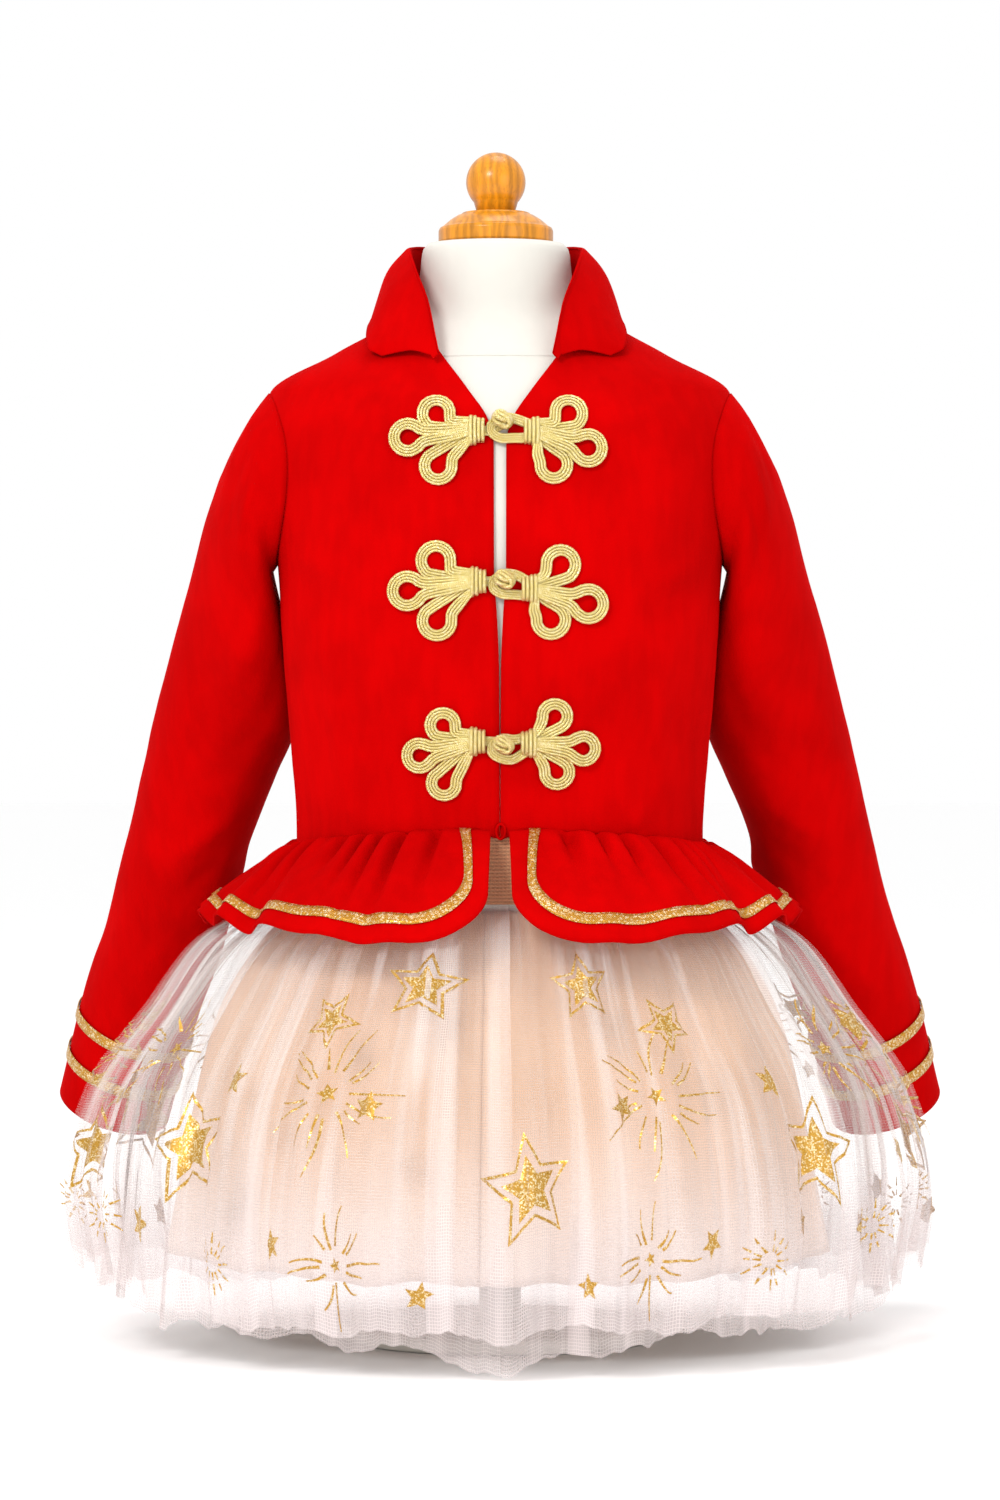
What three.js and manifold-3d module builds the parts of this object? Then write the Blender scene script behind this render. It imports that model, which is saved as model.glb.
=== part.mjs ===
// A child's stage costume on a limbless dress form: a red velvet jacket with gold frogs over a tulle skirt.
// Millimetres, +Z up. The front faces -Y, the floor is Z = 0 and the form's post stands on X = 0, Y = 0.
import * as THREE from 'three';
import { mergeVertices } from 'three/addons/utils/BufferGeometryUtils.js';
import Module from 'manifold-3d';

// Driving dimensions
const velvetWall = 1.5;
const tulleWall = 1.0;
const elasticWall = 1.5;
const ribbonWall = 0.6;
const seamGap = 0.5;
const trimGap = 0.4;
const peplumSeamGap = 0.7;

const hipZ = 110;
const neckShift = -2.5;
const capBand = { radius: 34.5, bottomZ: 656.4, shoulderZ: 666, topRadius: 19.5, topZ: 675.4 };
const knobRadius = 17.9;
const knobTopZ = 711.4;
const post = { radius: 12.5, bottomZ: 10.3 };
const base = { radius: 95, height: 10, bevel: 3 };

const armhole = { lowZ: 462, highZ: 566, halfDepth: 46, steps: 8 };
const shoulderTopZ = 611;
const peplumDrop = 66;
const peplumCorner = 24;
const peplumFlare = { front: 66, side: 58, back: 58 };
const peplumFall = { front: 58, side: 38, back: 54 };
const peplumWave = 7.5;
const ribbonInset = 8.5;
const ribbonWidth = 5.5;
const waistbandTopZ = 309;
const waistbandBottomZ = 262;
const hemDip = 27;

// Tables with named columns, one row for each section
function table(columns, rows) {
  return rows.map((row) => Object.fromEntries(columns.map((name, i) => [name, row[i]])));
}

// Sections of the jacket's outside and of the hip below it, each an oval whose corners may be squared
const bodySections = table(
  ['z', 'halfWidth', 'halfDepth', 'middleY', 'squareness'],
  [
    [110, 118, 84, 0, 2.2],
    [200, 126, 90, -1, 2.2],
    [262, 123, 88, -2, 2.2],
    [303, 121.5, 86, -2, 2.25],
    [352, 125, 88, -3, 2.3],
    [412, 130, 92, -3, 2.4],
    [462, 133, 92, -3, 2.4],
    [514, 140, 88, -2, 2.3],
    [545, 142, 80, 0, 2.2],
    [566, 138, 70, 2, 2.1],
    [590, 98, 57, 4, 2],
    [606, 70, 49, 6, 2],
    [616, 55, 44, 7, 2],
  ],
);

// How far the dress form lies inside the jacket's outside
const formClearance = table(
  ['z', 'inset'],
  [
    [110, 7],
    [310, 5.6],
    [420, 4.2],
    [540, 3.2],
    [570, 4.3],
    [606, 3.4],
  ],
);

// The form's neck above the shoulders
const neckSections = table(
  ['z', 'halfWidth', 'halfDepth', 'middleX', 'middleY'],
  [
    [611, 52, 41.5, -0.5, 7],
    [621, 48, 41.5, -1.5, 8],
    [638, 45.6, 41.5, -2.5, 8],
    [652, 44, 40.5, -2.5, 8],
    [656, 41, 38, -2.5, 8],
  ],
);

// Half the front opening: closed at the waist, a slit up the chest, then the V of the neckline
const frontOpening = table(
  ['z', 'halfWidth'],
  [
    [290, 0.4],
    [400, 1.5],
    [455, 3.4],
    [532, 3.6],
    [544, 6.5],
    [564, 19],
    [585, 34],
    [600, 43],
    [616, 50],
  ],
);

// Height of the waist seam by the angle from the centre front
const waistSeam = table(
  ['angle', 'z'],
  [
    [0, 306],
    [50, 299],
    [90, 292],
    [130, 303],
    [180, 311],
  ],
);

// Rings of a sleeve after its armhole, by the run of cloth from the armhole; tilt is in degrees
const sleeveRings = table(
  ['run', 'outerX', 'outerZ', 'innerX', 'innerZ', 'middleY', 'halfDepth', 'tilt'],
  [
    [14, 151, 551, 139.5, 457, 1, 48.5, 2],
    [33, 164, 526, 138.6, 446, 6, 50, 6],
    [56, 174, 500, 136, 430, 14, 49, 10],
    [90, 185, 464, 133, 405, 28, 47.5, 16],
    [132, 199, 418, 129.5, 376, 46, 45, 20],
    [182, 213, 366, 141, 338, 67, 42, 22],
    [240, 227.5, 311, 156, 291, 90, 40, 23],
    [302, 242, 256, 171, 235, 116, 39, 23],
    [362, 260, 206, 190, 184, 140, 38, 23],
    [436, 278.5, 137, 210, 118, 166, 36, 23],
  ],
);
const cuffBands = [
  { name: 'upper', from: 377, to: 384 },
  { name: 'lower', from: 404, to: 411 },
];
const sleeveRuns = [14, 33, 56, 90, 132, 182, 240, 302, 350, 377, 384, 404, 411, 436];

// The collar by the share of the way from a front end to the centre back: its fold and its outer edge
const collarLine = table(
  ['share', 'foldX', 'foldY', 'foldZ', 'edgeX', 'edgeY', 'edgeZ', 'stand'],
  [
    [0, 34, -61, 586, 68, -45, 588, 4],
    [0.1, 36, -58, 597, 75, -40, 596, 11],
    [0.25, 40, -50, 616, 77, -27, 603, 22.3],
    [0.42, 48, -32, 638, 77, -8, 607, 29.3],
    [0.6, 52, -2, 652, 76, 14, 608, 35],
    [0.8, 44, 38, 657, 60, 52, 607, 40],
    [1, 0, 58, 658, 0, 74, 604, 41],
  ],
);

// The collar's section: its foot, its rolled fold and the fall's shoulder, measured from the fold
const collarRoll = {
  footOut: 2.5,
  innerIn: 0.6,
  innerDrop: 3.5,
  outerOut: 4.2,
  outerDrop: 1.5,
  shoulderShare: 0.4,
  shoulderOut: 4,
  shoulderRise: 3,
};

// Skirt layers from the waistband's lower edge to the hem, as they stand at the side
const skirtLayers = [
  {
    name: 'skirt_star_tulle',
    folds: 28,
    depth: 9,
    dip: hemDip,
    point: { depth: 0, halfWidth: 1 },
    lean: 0.7,
    colour: 0xf7ecdf,
    rows: [0, 0.11, 0.227, 0.41, 0.7, 1],
    profile: table(
      ['share', 'halfWidth', 'z', 'depthRatio'],
      [
        [0, 120.6, 261.2, 0.712],
        [0.11, 150, 255, 0.76],
        [0.227, 178, 240, 0.8],
        [0.41, 208, 200, 0.84],
        [0.64, 243, 148, 0.88],
        [0.845, 256, 94, 0.9],
        [1, 250, 52, 0.9],
      ],
    ),
  },
  {
    name: 'skirt_under_tulle',
    folds: 20,
    depth: 7,
    dip: 12,
    point: { depth: 14, halfWidth: 30 },
    lean: 2.1,
    colour: 0xf8e6dc,
    rows: [0, 0.14, 0.5, 1],
    profile: table(
      ['share', 'halfWidth', 'z', 'depthRatio'],
      [
        [0, 120.3, 259.7, 0.71],
        [0.1, 148, 248, 0.74],
        [0.3, 182, 214, 0.79],
        [0.65, 222, 136, 0.86],
        [1, 232, 33, 0.88],
      ],
    ),
  },
  {
    name: 'skirt_lining',
    folds: 14,
    depth: 4,
    dip: 8,
    point: { depth: 0, halfWidth: 1 },
    lean: 4.4,
    colour: 0xf5d8c2,
    rows: [0, 0.14, 0.45, 1],
    profile: table(
      ['share', 'halfWidth', 'z', 'depthRatio'],
      [
        [0, 120, 258.2, 0.708],
        [0.14, 140, 241, 0.74],
        [0.45, 169, 192, 0.8],
        [1, 198, 56, 0.86],
      ],
    ),
  },
];

// Frogs: the knot, the wrap that ties each half and the three braid loops of each half
const braid = { width: 6.4, height: 3, lift: 0.8, sides: 5 };
const knotBraid = { width: 3.4, slack: 0.35 };
const knotRadius = 6.4;
const frogs = [
  { name: 'top', knot: [1.5, 542], loopRadius: 11.4, leftWrap: [-13.5, 538], rightWrap: [18.3, 537] },
  { name: 'middle', knot: [2.6, 451], loopRadius: 11.9, leftWrap: [-12.5, 450], rightWrap: [17, 445.5] },
  { name: 'bottom', knot: [2, 355.5], loopRadius: 10.6, leftWrap: [-13, 357], rightWrap: [16.5, 356] },
];
const frogLoops = table(
  ['frog', 'half', 'x', 'z'],
  [
    ['top', 'left', -37, 547.6],
    ['top', 'left', -53.3, 533.6],
    ['top', 'left', -35.8, 517.3],
    ['top', 'right', 39.9, 547.6],
    ['top', 'right', 50.9, 527.2],
    ['top', 'right', 31.1, 517.9],
    ['middle', 'left', -37, 462],
    ['middle', 'left', -53.3, 444.5],
    ['middle', 'left', -36.4, 427],
    ['middle', 'right', 35.2, 459.7],
    ['middle', 'right', 50.9, 437],
    ['middle', 'right', 29.4, 427.7],
    ['bottom', 'left', -32.9, 366.6],
    ['bottom', 'left', -46.3, 349],
    ['bottom', 'left', -32.3, 332.8],
    ['bottom', 'right', 31.7, 371.8],
    ['bottom', 'right', 48, 353],
    ['bottom', 'right', 32.9, 339.2],
  ],
);

// Colours
const colours = {
  velvet: 0xc8000c,
  ribbon: 0xcda032,
  braid: 0xd9c878,
  elastic: 0xd8b49a,
  jersey: 0xf6f2e8,
  wood: 0xd99a3e,
  paint: 0xf2efe6,
};

const lerp = THREE.MathUtils.lerp;
const clamp = THREE.MathUtils.clamp;
const radians = THREE.MathUtils.degToRad;
const degrees = THREE.MathUtils.radToDeg;
const costume = new THREE.Group();

// Reading a table
function slopeBetween(rows, key, column, i) {
  return (rows[i + 1][column] - rows[i][column]) / (rows[i + 1][key] - rows[i][key]);
}

function slopeAt(rows, key, column, i) {
  if (i === 0) {
    return slopeBetween(rows, key, column, 0);
  }
  if (i === rows.length - 1) {
    return slopeBetween(rows, key, column, i - 1);
  }
  const before = slopeBetween(rows, key, column, i - 1);
  const after = slopeBetween(rows, key, column, i);
  return before * after > 0 ? (2 * before * after) / (before + after) : 0;
}

// A smooth curve through one column of a table, which never swings past a row
function read(rows, key, column, at) {
  let i = 0;
  while (i < rows.length - 2 && at > rows[i + 1][key]) {
    i += 1;
  }
  const width = rows[i + 1][key] - rows[i][key];
  const t = clamp((at - rows[i][key]) / width, 0, 1);
  const startPull = slopeAt(rows, key, column, i) * width;
  const endPull = slopeAt(rows, key, column, i + 1) * width;
  const rise = rows[i + 1][column] - rows[i][column];
  return rows[i][column] + startPull * t + (3 * rise - 2 * startPull - endPull) * t * t
    + (startPull + endPull - 2 * rise) * t * t * t;
}

function readRow(rows, key, at) {
  return Object.fromEntries(Object.keys(rows[0]).map((name) => [name, read(rows, key, name, at)]));
}

function evenly(count, from, to) {
  return Array.from({ length: count + 1 }, (_, i) => lerp(from, to, i / count));
}

// Meshes
function addMesh(name, colour, geometry, roughness = 0.85, metalness = 0) {
  const material = new THREE.MeshStandardMaterial({ color: colour, roughness, metalness });
  const mesh = new THREE.Mesh(geometry, material);
  mesh.name = name;
  costume.add(mesh);
}

// Shared corners are merged once only the positions are left
function bareMesh(geometry) {
  geometry.deleteAttribute('normal');
  geometry.deleteAttribute('uv');
  return mergeVertices(geometry, 1e-4);
}

function geometryFrom(points, triangles) {
  const geometry = new THREE.BufferGeometry();
  geometry.setAttribute('position', new THREE.Float32BufferAttribute(points.flatMap((p) => p.toArray()), 3));
  geometry.setIndex(triangles);
  return geometry;
}

// The two triangles of each cell between a grid's rows and columns
function sheetTriangles(grid, round) {
  const columns = grid[0].length;
  const spans = round ? columns : columns - 1;
  const triangles = [];
  for (let r = 0; r < grid.length - 1; r += 1) {
    for (let c = 0; c < spans; c += 1) {
      const low = r * columns;
      const high = low + columns;
      const next = (c + 1) % columns;
      triangles.push(low + c, low + next, high + next, low + c, high + next, high + c);
    }
  }
  return triangles;
}

// A grid moved along the normals of its sheet; a trim that lies on the sheet is moved out
function movedOut(grid, distance, round = false) {
  const sheet = geometryFrom(grid.flat(), sheetTriangles(grid, round));
  sheet.computeVertexNormals();
  const columns = grid[0].length;
  return grid.map((row, r) => row.map((point, c) => {
    const normal = new THREE.Vector3().fromBufferAttribute(sheet.attributes.normal, r * columns + c);
    return point.clone().addScaledVector(normal, distance);
  }));
}

// A wall behind a grid of outer points, closed along its edges; columns run round when round is true
function wallGeometry(grid, thickness, round = false) {
  const rows = grid.length;
  const columns = grid[0].length;
  const outer = grid.flat();
  const inner = movedOut(grid, -thickness, round).flat();
  const inside = outer.length;
  const triangles = sheetTriangles(grid, round);
  for (let i = triangles.length - 3; i >= 0; i -= 3) {
    triangles.push(inside + triangles[i], inside + triangles[i + 2], inside + triangles[i + 1]);
  }
  const quad = (a, b, c, d) => triangles.push(a, b, c, a, c, d);
  const at = (r, c) => r * columns + (c % columns);
  for (let c = 0; c < (round ? columns : columns - 1); c += 1) {
    const top = rows - 1;
    quad(at(0, c + 1), at(0, c), inside + at(0, c), inside + at(0, c + 1));
    quad(at(top, c), at(top, c + 1), inside + at(top, c + 1), inside + at(top, c));
  }
  if (!round) {
    const last = columns - 1;
    for (let r = 0; r < rows - 1; r += 1) {
      quad(at(r, 0), at(r + 1, 0), inside + at(r + 1, 0), inside + at(r, 0));
      quad(at(r + 1, last), at(r, last), inside + at(r, last), inside + at(r + 1, last));
    }
  }
  return geometryFrom([...outer, ...inner], triangles);
}

function mirrored(grid) {
  return grid.map((row) => [...row].reverse().map((p) => new THREE.Vector3(-p.x, p.y, p.z)));
}

// A solid through closed rings from the bottom up, with a flat cap at each end
function stackGeometry(rings) {
  const columns = rings[0].length;
  const points = rings.flat();
  const triangles = [];
  const at = (r, c) => r * columns + (c % columns);
  for (let r = 0; r < rings.length - 1; r += 1) {
    for (let c = 0; c < columns; c += 1) {
      triangles.push(at(r, c), at(r, c + 1), at(r + 1, c + 1), at(r, c), at(r + 1, c + 1), at(r + 1, c));
    }
  }
  for (const r of [0, rings.length - 1]) {
    const middle = rings[r].reduce((sum, p) => sum.add(p), new THREE.Vector3()).divideScalar(columns);
    points.push(middle);
    for (let c = 0; c < columns; c += 1) {
      const edge = r === 0 ? [at(r, c + 1), at(r, c)] : [at(r, c), at(r, c + 1)];
      triangles.push(points.length - 1, ...edge);
    }
  }
  return geometryFrom(points, triangles);
}

// A turned solid: radius and height pairs from the axis out and back to the axis
function turnedGeometry(profile, sides) {
  const outline = profile.map(([radius, z]) => new THREE.Vector2(radius, z));
  const geometry = new THREE.LatheGeometry(outline, sides);
  geometry.rotateX(Math.PI / 2);
  return bareMesh(geometry);
}

// The body's surface
function power(value, exponent) {
  return Math.sign(value) * Math.abs(value) ** exponent;
}

function ovalPoint(section, angle, z) {
  const roundness = 2 / (section.squareness ?? 2);
  const x = (section.middleX ?? 0) + section.halfWidth * power(Math.sin(angle), roundness);
  const y = section.middleY - section.halfDepth * power(Math.cos(angle), roundness);
  return new THREE.Vector3(x, y, z);
}

// A point of the jacket's outside at an angle from the centre front, moved out along its normal
function bodyPoint(angle, z, out = 0) {
  const step = 0.02;
  const climb = 1;
  const point = ovalPoint(readRow(bodySections, 'z', z), angle, z);
  if (out === 0) {
    return point;
  }
  const across = ovalPoint(readRow(bodySections, 'z', z), angle + step, z)
    .sub(ovalPoint(readRow(bodySections, 'z', z), angle - step, z));
  const along = ovalPoint(readRow(bodySections, 'z', z + climb), angle, z + climb)
    .sub(ovalPoint(readRow(bodySections, 'z', z - climb), angle, z - climb));
  return point.addScaledVector(across.cross(along).normalize(), out);
}

function angleAtWidth(x, z) {
  const section = readRow(bodySections, 'z', z);
  const share = clamp(Math.abs(x) / section.halfWidth, 0, 1);
  return Math.sign(x) * Math.asin(share ** (section.squareness / 2));
}

function angleAtDepth(depth, z) {
  const section = readRow(bodySections, 'z', z);
  const share = clamp(Math.abs(depth) / section.halfDepth, 0, 1);
  return Math.acos(share ** (section.squareness / 2));
}

function frontPoint(x, z, out) {
  return bodyPoint(angleAtWidth(x, z), z, out);
}

// Jacket body
function seamHeight(angle) {
  const wrapped = Math.abs(((degrees(angle) + 540) % 360) - 180);
  return read(waistSeam, 'angle', 'z', wrapped);
}

const armholeMiddleZ = (armhole.lowZ + armhole.highZ) / 2;
const armholeHalfHeight = (armhole.highZ - armhole.lowZ) / 2;
const armholeHeights = evenly(armhole.steps, Math.PI, 0)
  .map((turn) => armholeMiddleZ + armholeHalfHeight * Math.cos(turn));
const yokeHeights = [578, 594, shoulderTopZ];
const waistShares = [0, 0.2, 0.45, 0.73];

function armholeDepth(z) {
  const share = clamp((z - armholeMiddleZ) / armholeHalfHeight, -1, 1);
  return Math.max(armhole.halfDepth * Math.sqrt(1 - share * share), seamGap / 2);
}

// Rows of a panel between two angles, which may change with the height
function panelGrid(columns, startAngle, endAngle) {
  const grid = waistShares.map((share) => {
    const z = lerp(seamHeight(Math.PI / 2), armhole.lowZ, share);
    return evenly(columns, startAngle(z), endAngle(z))
      .map((angle) => bodyPoint(angle, lerp(seamHeight(angle), armhole.lowZ, share)));
  });
  for (const z of [...armholeHeights, ...yokeHeights]) {
    grid.push(evenly(columns, startAngle(z), endAngle(z)).map((angle) => bodyPoint(angle, z)));
  }
  return grid;
}

function addJacketBody() {
  const frontStart = (z) => angleAtWidth(read(frontOpening, 'z', 'halfWidth', z), z);
  const frontEnd = (z) => angleAtDepth(armholeDepth(z), z);
  const right = panelGrid(8, frontStart, frontEnd);
  const back = panelGrid(14, (z) => Math.PI - frontEnd(z), (z) => Math.PI + frontEnd(z));
  addMesh('jacket_front_right', colours.velvet, wallGeometry(right, velvetWall));
  addMesh('jacket_front_left', colours.velvet, wallGeometry(mirrored(right), velvetWall));
  addMesh('jacket_back', colours.velvet, wallGeometry(back, velvetWall));
}

// Sleeves
const sleeveTurns = evenly(armhole.steps * 2, 0, Math.PI * 2).slice(0, -1);

function armholePoint(turn) {
  const z = armholeMiddleZ + armholeHalfHeight * Math.cos(turn);
  const side = angleAtDepth(armhole.halfDepth * Math.abs(Math.sin(turn)), z);
  const angle = Math.sin(turn) >= 0 ? side : Math.PI - side;
  return bodyPoint(angle, z, trimGap + 0.3);
}

function sleevePoint(ring, turn) {
  const halfWidthX = (ring.outerX - ring.innerX) / 2;
  const halfWidthZ = (ring.outerZ - ring.innerZ) / 2;
  const forward = ring.halfDepth * Math.sin(turn);
  return new THREE.Vector3(
    (ring.outerX + ring.innerX) / 2 + halfWidthX * Math.cos(turn),
    ring.middleY - forward * Math.cos(radians(ring.tilt)),
    (ring.outerZ + ring.innerZ) / 2 + halfWidthZ * Math.cos(turn) - forward * Math.sin(radians(ring.tilt)),
  );
}

function sleeveGrid() {
  const rings = sleeveRuns.map((run) => {
    const ring = readRow(sleeveRings, 'run', run);
    return sleeveTurns.map((turn) => sleevePoint(ring, turn));
  });
  return [sleeveTurns.map(armholePoint), ...rings];
}

function addSleeves() {
  const right = sleeveGrid();
  const sides = [['right', right], ['left', mirrored(right)]];
  for (const [side, grid] of sides) {
    addMesh(`sleeve_${side}`, colours.velvet, wallGeometry(grid, velvetWall, true));
    for (const band of cuffBands) {
      const first = sleeveRuns.indexOf(band.from) + 1;
      const strip = movedOut(grid, trimGap + ribbonWall, true).slice(first, first + 2);
      const ribbon = wallGeometry(strip, ribbonWall, true);
      addMesh(`cuff_ribbon_${side}_${band.name}`, colours.ribbon, ribbon, 0.4, 0.6);
    }
  }
}

// Collar
function collarColumn(share, side) {
  const line = readRow(collarLine, 'share', share);
  const fold = new THREE.Vector3(line.foldX, line.foldY, line.foldZ);
  const edge = new THREE.Vector3(line.edgeX, line.edgeY, line.edgeZ);
  const outward = edge.clone().sub(fold).setZ(0).normalize();
  const foot = fold.clone().addScaledVector(outward, collarRoll.footOut).setZ(line.foldZ - line.stand);
  const innerTop = fold.clone().addScaledVector(outward, -collarRoll.innerIn);
  innerTop.z -= collarRoll.innerDrop * Math.min(1, line.stand / 12);
  const outerTop = fold.clone().addScaledVector(outward, collarRoll.outerOut);
  outerTop.z -= collarRoll.outerDrop;
  const shoulderOut = collarRoll.shoulderOut * Math.min(1, line.stand / 20);
  const shoulder = outerTop.clone().lerp(edge, collarRoll.shoulderShare);
  shoulder.addScaledVector(outward, shoulderOut);
  shoulder.z += collarRoll.shoulderRise;
  const points = [foot, innerTop, fold, outerTop, shoulder, edge];
  return points.map((p) => new THREE.Vector3(p.x * side + neckShift, p.y, p.z));
}

function addCollar() {
  const shares = [0, 0.06, 0.14, 0.25, 0.36, 0.48, 0.6, 0.72, 0.86, 1];
  const columns = [
    ...shares.map((share) => collarColumn(share, 1)),
    ...shares.slice(0, -1).reverse().map((share) => collarColumn(share, -1)),
  ];
  const grid = columns[0].map((_, r) => columns.map((column) => column[r]));
  grid.reverse();
  addMesh('collar', colours.velvet, wallGeometry(grid, velvetWall));
}

// Gathers: a column's place in its fold, uneven from fold to fold
function foldAngle(column, columns, lean) {
  const turn = (column / columns) * Math.PI * 2;
  const nudge = 0.35 / columns;
  return turn + nudge * Math.PI * 2 * (Math.sin(5 * turn + lean) + 0.8 * Math.sin(9 * turn + 2.3 * lean));
}

function foldHeight(column, turn, lean) {
  const size = 0.78 + 0.22 * Math.sin(7 * turn + 1.7 * lean) * Math.cos(4 * turn + lean);
  return size * Math.cos((column * Math.PI) / 2);
}

// Peplum: a point at an angle from the centre front, some way down its drop
function peplumPoint(angle, drop, wave) {
  const t = drop / peplumDrop;
  const frontness = 0.5 + 0.5 * Math.cos(angle);
  const sideness = Math.sin(angle) ** 2;
  const start = bodyPoint(angle, seamHeight(angle) - peplumSeamGap);
  const outward = new THREE.Vector3(start.x, start.y * 1.35, 0).normalize();
  const flare = lerp(lerp(peplumFlare.back, peplumFlare.front, frontness), peplumFlare.side, sideness);
  const fall = lerp(lerp(peplumFall.back, peplumFall.front, frontness), peplumFall.side, sideness);
  const lift = wave * peplumWave * t ** 1.3;
  const point = start.addScaledVector(outward, flare * t ** 0.9 + 0.5 * lift);
  point.z += 0.85 * lift - fall * t ** 1.2;
  return point;
}

// The ruffle's free edge, unrolled: up one front edge, round its corner and along the hem
function peplumEdge(length, total) {
  const straight = peplumDrop - peplumCorner;
  const arc = (peplumCorner * Math.PI) / 2;
  if (length < straight) {
    return { along: 0, drop: length };
  }
  if (length < straight + arc) {
    const turn = (length - straight) / peplumCorner;
    return {
      along: peplumCorner * (1 - Math.cos(turn)),
      drop: straight + peplumCorner * Math.sin(turn),
    };
  }
  return { along: Math.min(peplumCorner + length - straight - arc, total), drop: peplumDrop };
}

function peplumGrid() {
  const waistLength = 680;
  const frontGap = 3;
  const half = waistLength / 2 - frontGap;
  const edgeStart = 4;
  const cornerColumns = 8;
  const hemColumns = 39;
  const cornerRun = peplumDrop - peplumCorner + (peplumCorner * Math.PI) / 2;
  const columns = [];
  const angleOf = (along) => (Math.PI * (along + frontGap)) / (waistLength / 2);
  const foot = ribbonInset + ribbonWidth + 8;
  const cornerFoot = foot + 16;
  for (let i = 0; i <= cornerColumns + hemColumns; i += 1) {
    const inCorner = i < cornerColumns;
    const share = inCorner ? i / cornerColumns : (i - cornerColumns) / hemColumns;
    const length = inCorner ? lerp(edgeStart, cornerRun, share) : cornerRun + (half - peplumCorner) * share;
    const edge = peplumEdge(length, half);
    const top = { along: inCorner ? lerp(foot, cornerFoot, share) : lerp(cornerFoot, half, share), drop: 0 };
    const reach = Math.hypot(edge.along - top.along, edge.drop - top.drop);
    const stops = [0, 0.45, 1 - (ribbonInset + ribbonWidth) / reach, 1 - ribbonInset / reach, 1];
    const wave = inCorner ? 0.5 * share : foldHeight(i - cornerColumns, angleOf(edge.along), 0.6);
    columns.push(stops.map((stop) => {
      const along = lerp(top.along, edge.along, stop);
      const drop = lerp(top.drop, edge.drop, stop);
      const roll = 0.9 * Math.exp(-along / 12);
      return peplumPoint(angleOf(along), drop, Math.max(wave, -1) + roll);
    }));
  }
  const right = columns.map((column) => [...column].reverse());
  const left = right.slice(0, -1).reverse().map((column) => (
    column.map((p) => new THREE.Vector3(-p.x, p.y, p.z))
  ));
  const around = [...right, ...left];
  return around[0].map((_, r) => around.map((column) => column[r]));
}

function addPeplum() {
  const grid = peplumGrid();
  addMesh('peplum', colours.velvet, wallGeometry(grid, velvetWall));
  const strip = movedOut(grid, trimGap + ribbonWall).slice(1, 3);
  addMesh('peplum_ribbon', colours.ribbon, wallGeometry(strip, ribbonWall), 0.4, 0.6);
}

// Frogs: each half is cut from flat rings and bars and then bent onto the chest
function braidRing(x, z, radius, width = braid.width) {
  const shape = new THREE.Shape();
  shape.absarc(x, z, radius, 0, Math.PI * 2);
  const hole = new THREE.Path();
  hole.absarc(x, z, radius - width, 0, Math.PI * 2, true);
  shape.holes.push(hole);
  const options = { depth: braid.height, bevelEnabled: false, curveSegments: braid.sides };
  return bareMesh(new THREE.ExtrudeGeometry(shape, options));
}

function braidBar(from, to) {
  const start = new THREE.Vector2(...from);
  const reach = new THREE.Vector2(...to).sub(start);
  const geometry = new THREE.BoxGeometry(reach.length(), braid.width, braid.height);
  geometry.translate(reach.length() / 2, 0, braid.height / 2);
  geometry.rotateZ(reach.angle());
  geometry.translate(start.x, start.y, 0);
  return bareMesh(geometry);
}

function joined(wasm, geometries) {
  const solids = geometries.map((geometry) => {
    const vertProperties = new Float32Array(geometry.attributes.position.array);
    const triVerts = new Uint32Array(geometry.index.array);
    return new wasm.Manifold(new wasm.Mesh({ numProp: 3, vertProperties, triVerts }));
  });
  return solids.reduce((whole, solid) => whole.add(solid)).getMesh();
}

function bentOntoChest(mesh) {
  const points = [];
  for (let i = 0; i < mesh.vertProperties.length; i += 3) {
    const [x, z, out] = mesh.vertProperties.slice(i, i + 3);
    points.push(frontPoint(x, z, braid.lift + out));
  }
  return geometryFrom(points, [...mesh.triVerts]);
}

function addFrogHalf(wasm, frog, half) {
  const wrap = half === 'left' ? frog.leftWrap : frog.rightWrap;
  const loops = frogLoops.filter((loop) => loop.frog === frog.name && loop.half === half);
  const pieces = [];
  for (const loop of loops) {
    const away = new THREE.Vector2(loop.x - wrap[0], loop.z - wrap[1]);
    const nearEdge = away.clone().setLength(away.length() - frog.loopRadius + braid.width / 2);
    pieces.push(braidRing(loop.x, loop.z, frog.loopRadius));
    pieces.push(braidBar(wrap, [wrap[0] + nearEdge.x, wrap[1] + nearEdge.y]));
  }
  if (half === 'right') {
    const loopOutside = knotRadius + knotBraid.slack + knotBraid.width;
    pieces.push(braidRing(...frog.knot, loopOutside, knotBraid.width));
    pieces.push(braidBar([frog.knot[0] + loopOutside - 1, frog.knot[1]], wrap));
  }
  addMesh(`frog_${frog.name}_${half}`, colours.braid, bentOntoChest(joined(wasm, pieces)), 0.5, 0.4);
}

function addFrogs(wasm) {
  for (const frog of frogs) {
    addFrogHalf(wasm, frog, 'left');
    addFrogHalf(wasm, frog, 'right');
    const knot = bareMesh(new THREE.SphereGeometry(knotRadius, 10, 7));
    const centre = frontPoint(frog.knot[0], frog.knot[1], knotRadius + 0.35);
    knot.translate(centre.x, centre.y, centre.z);
    addMesh(`frog_${frog.name}_knot`, colours.braid, knot, 0.5, 0.4);
  }
}

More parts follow.
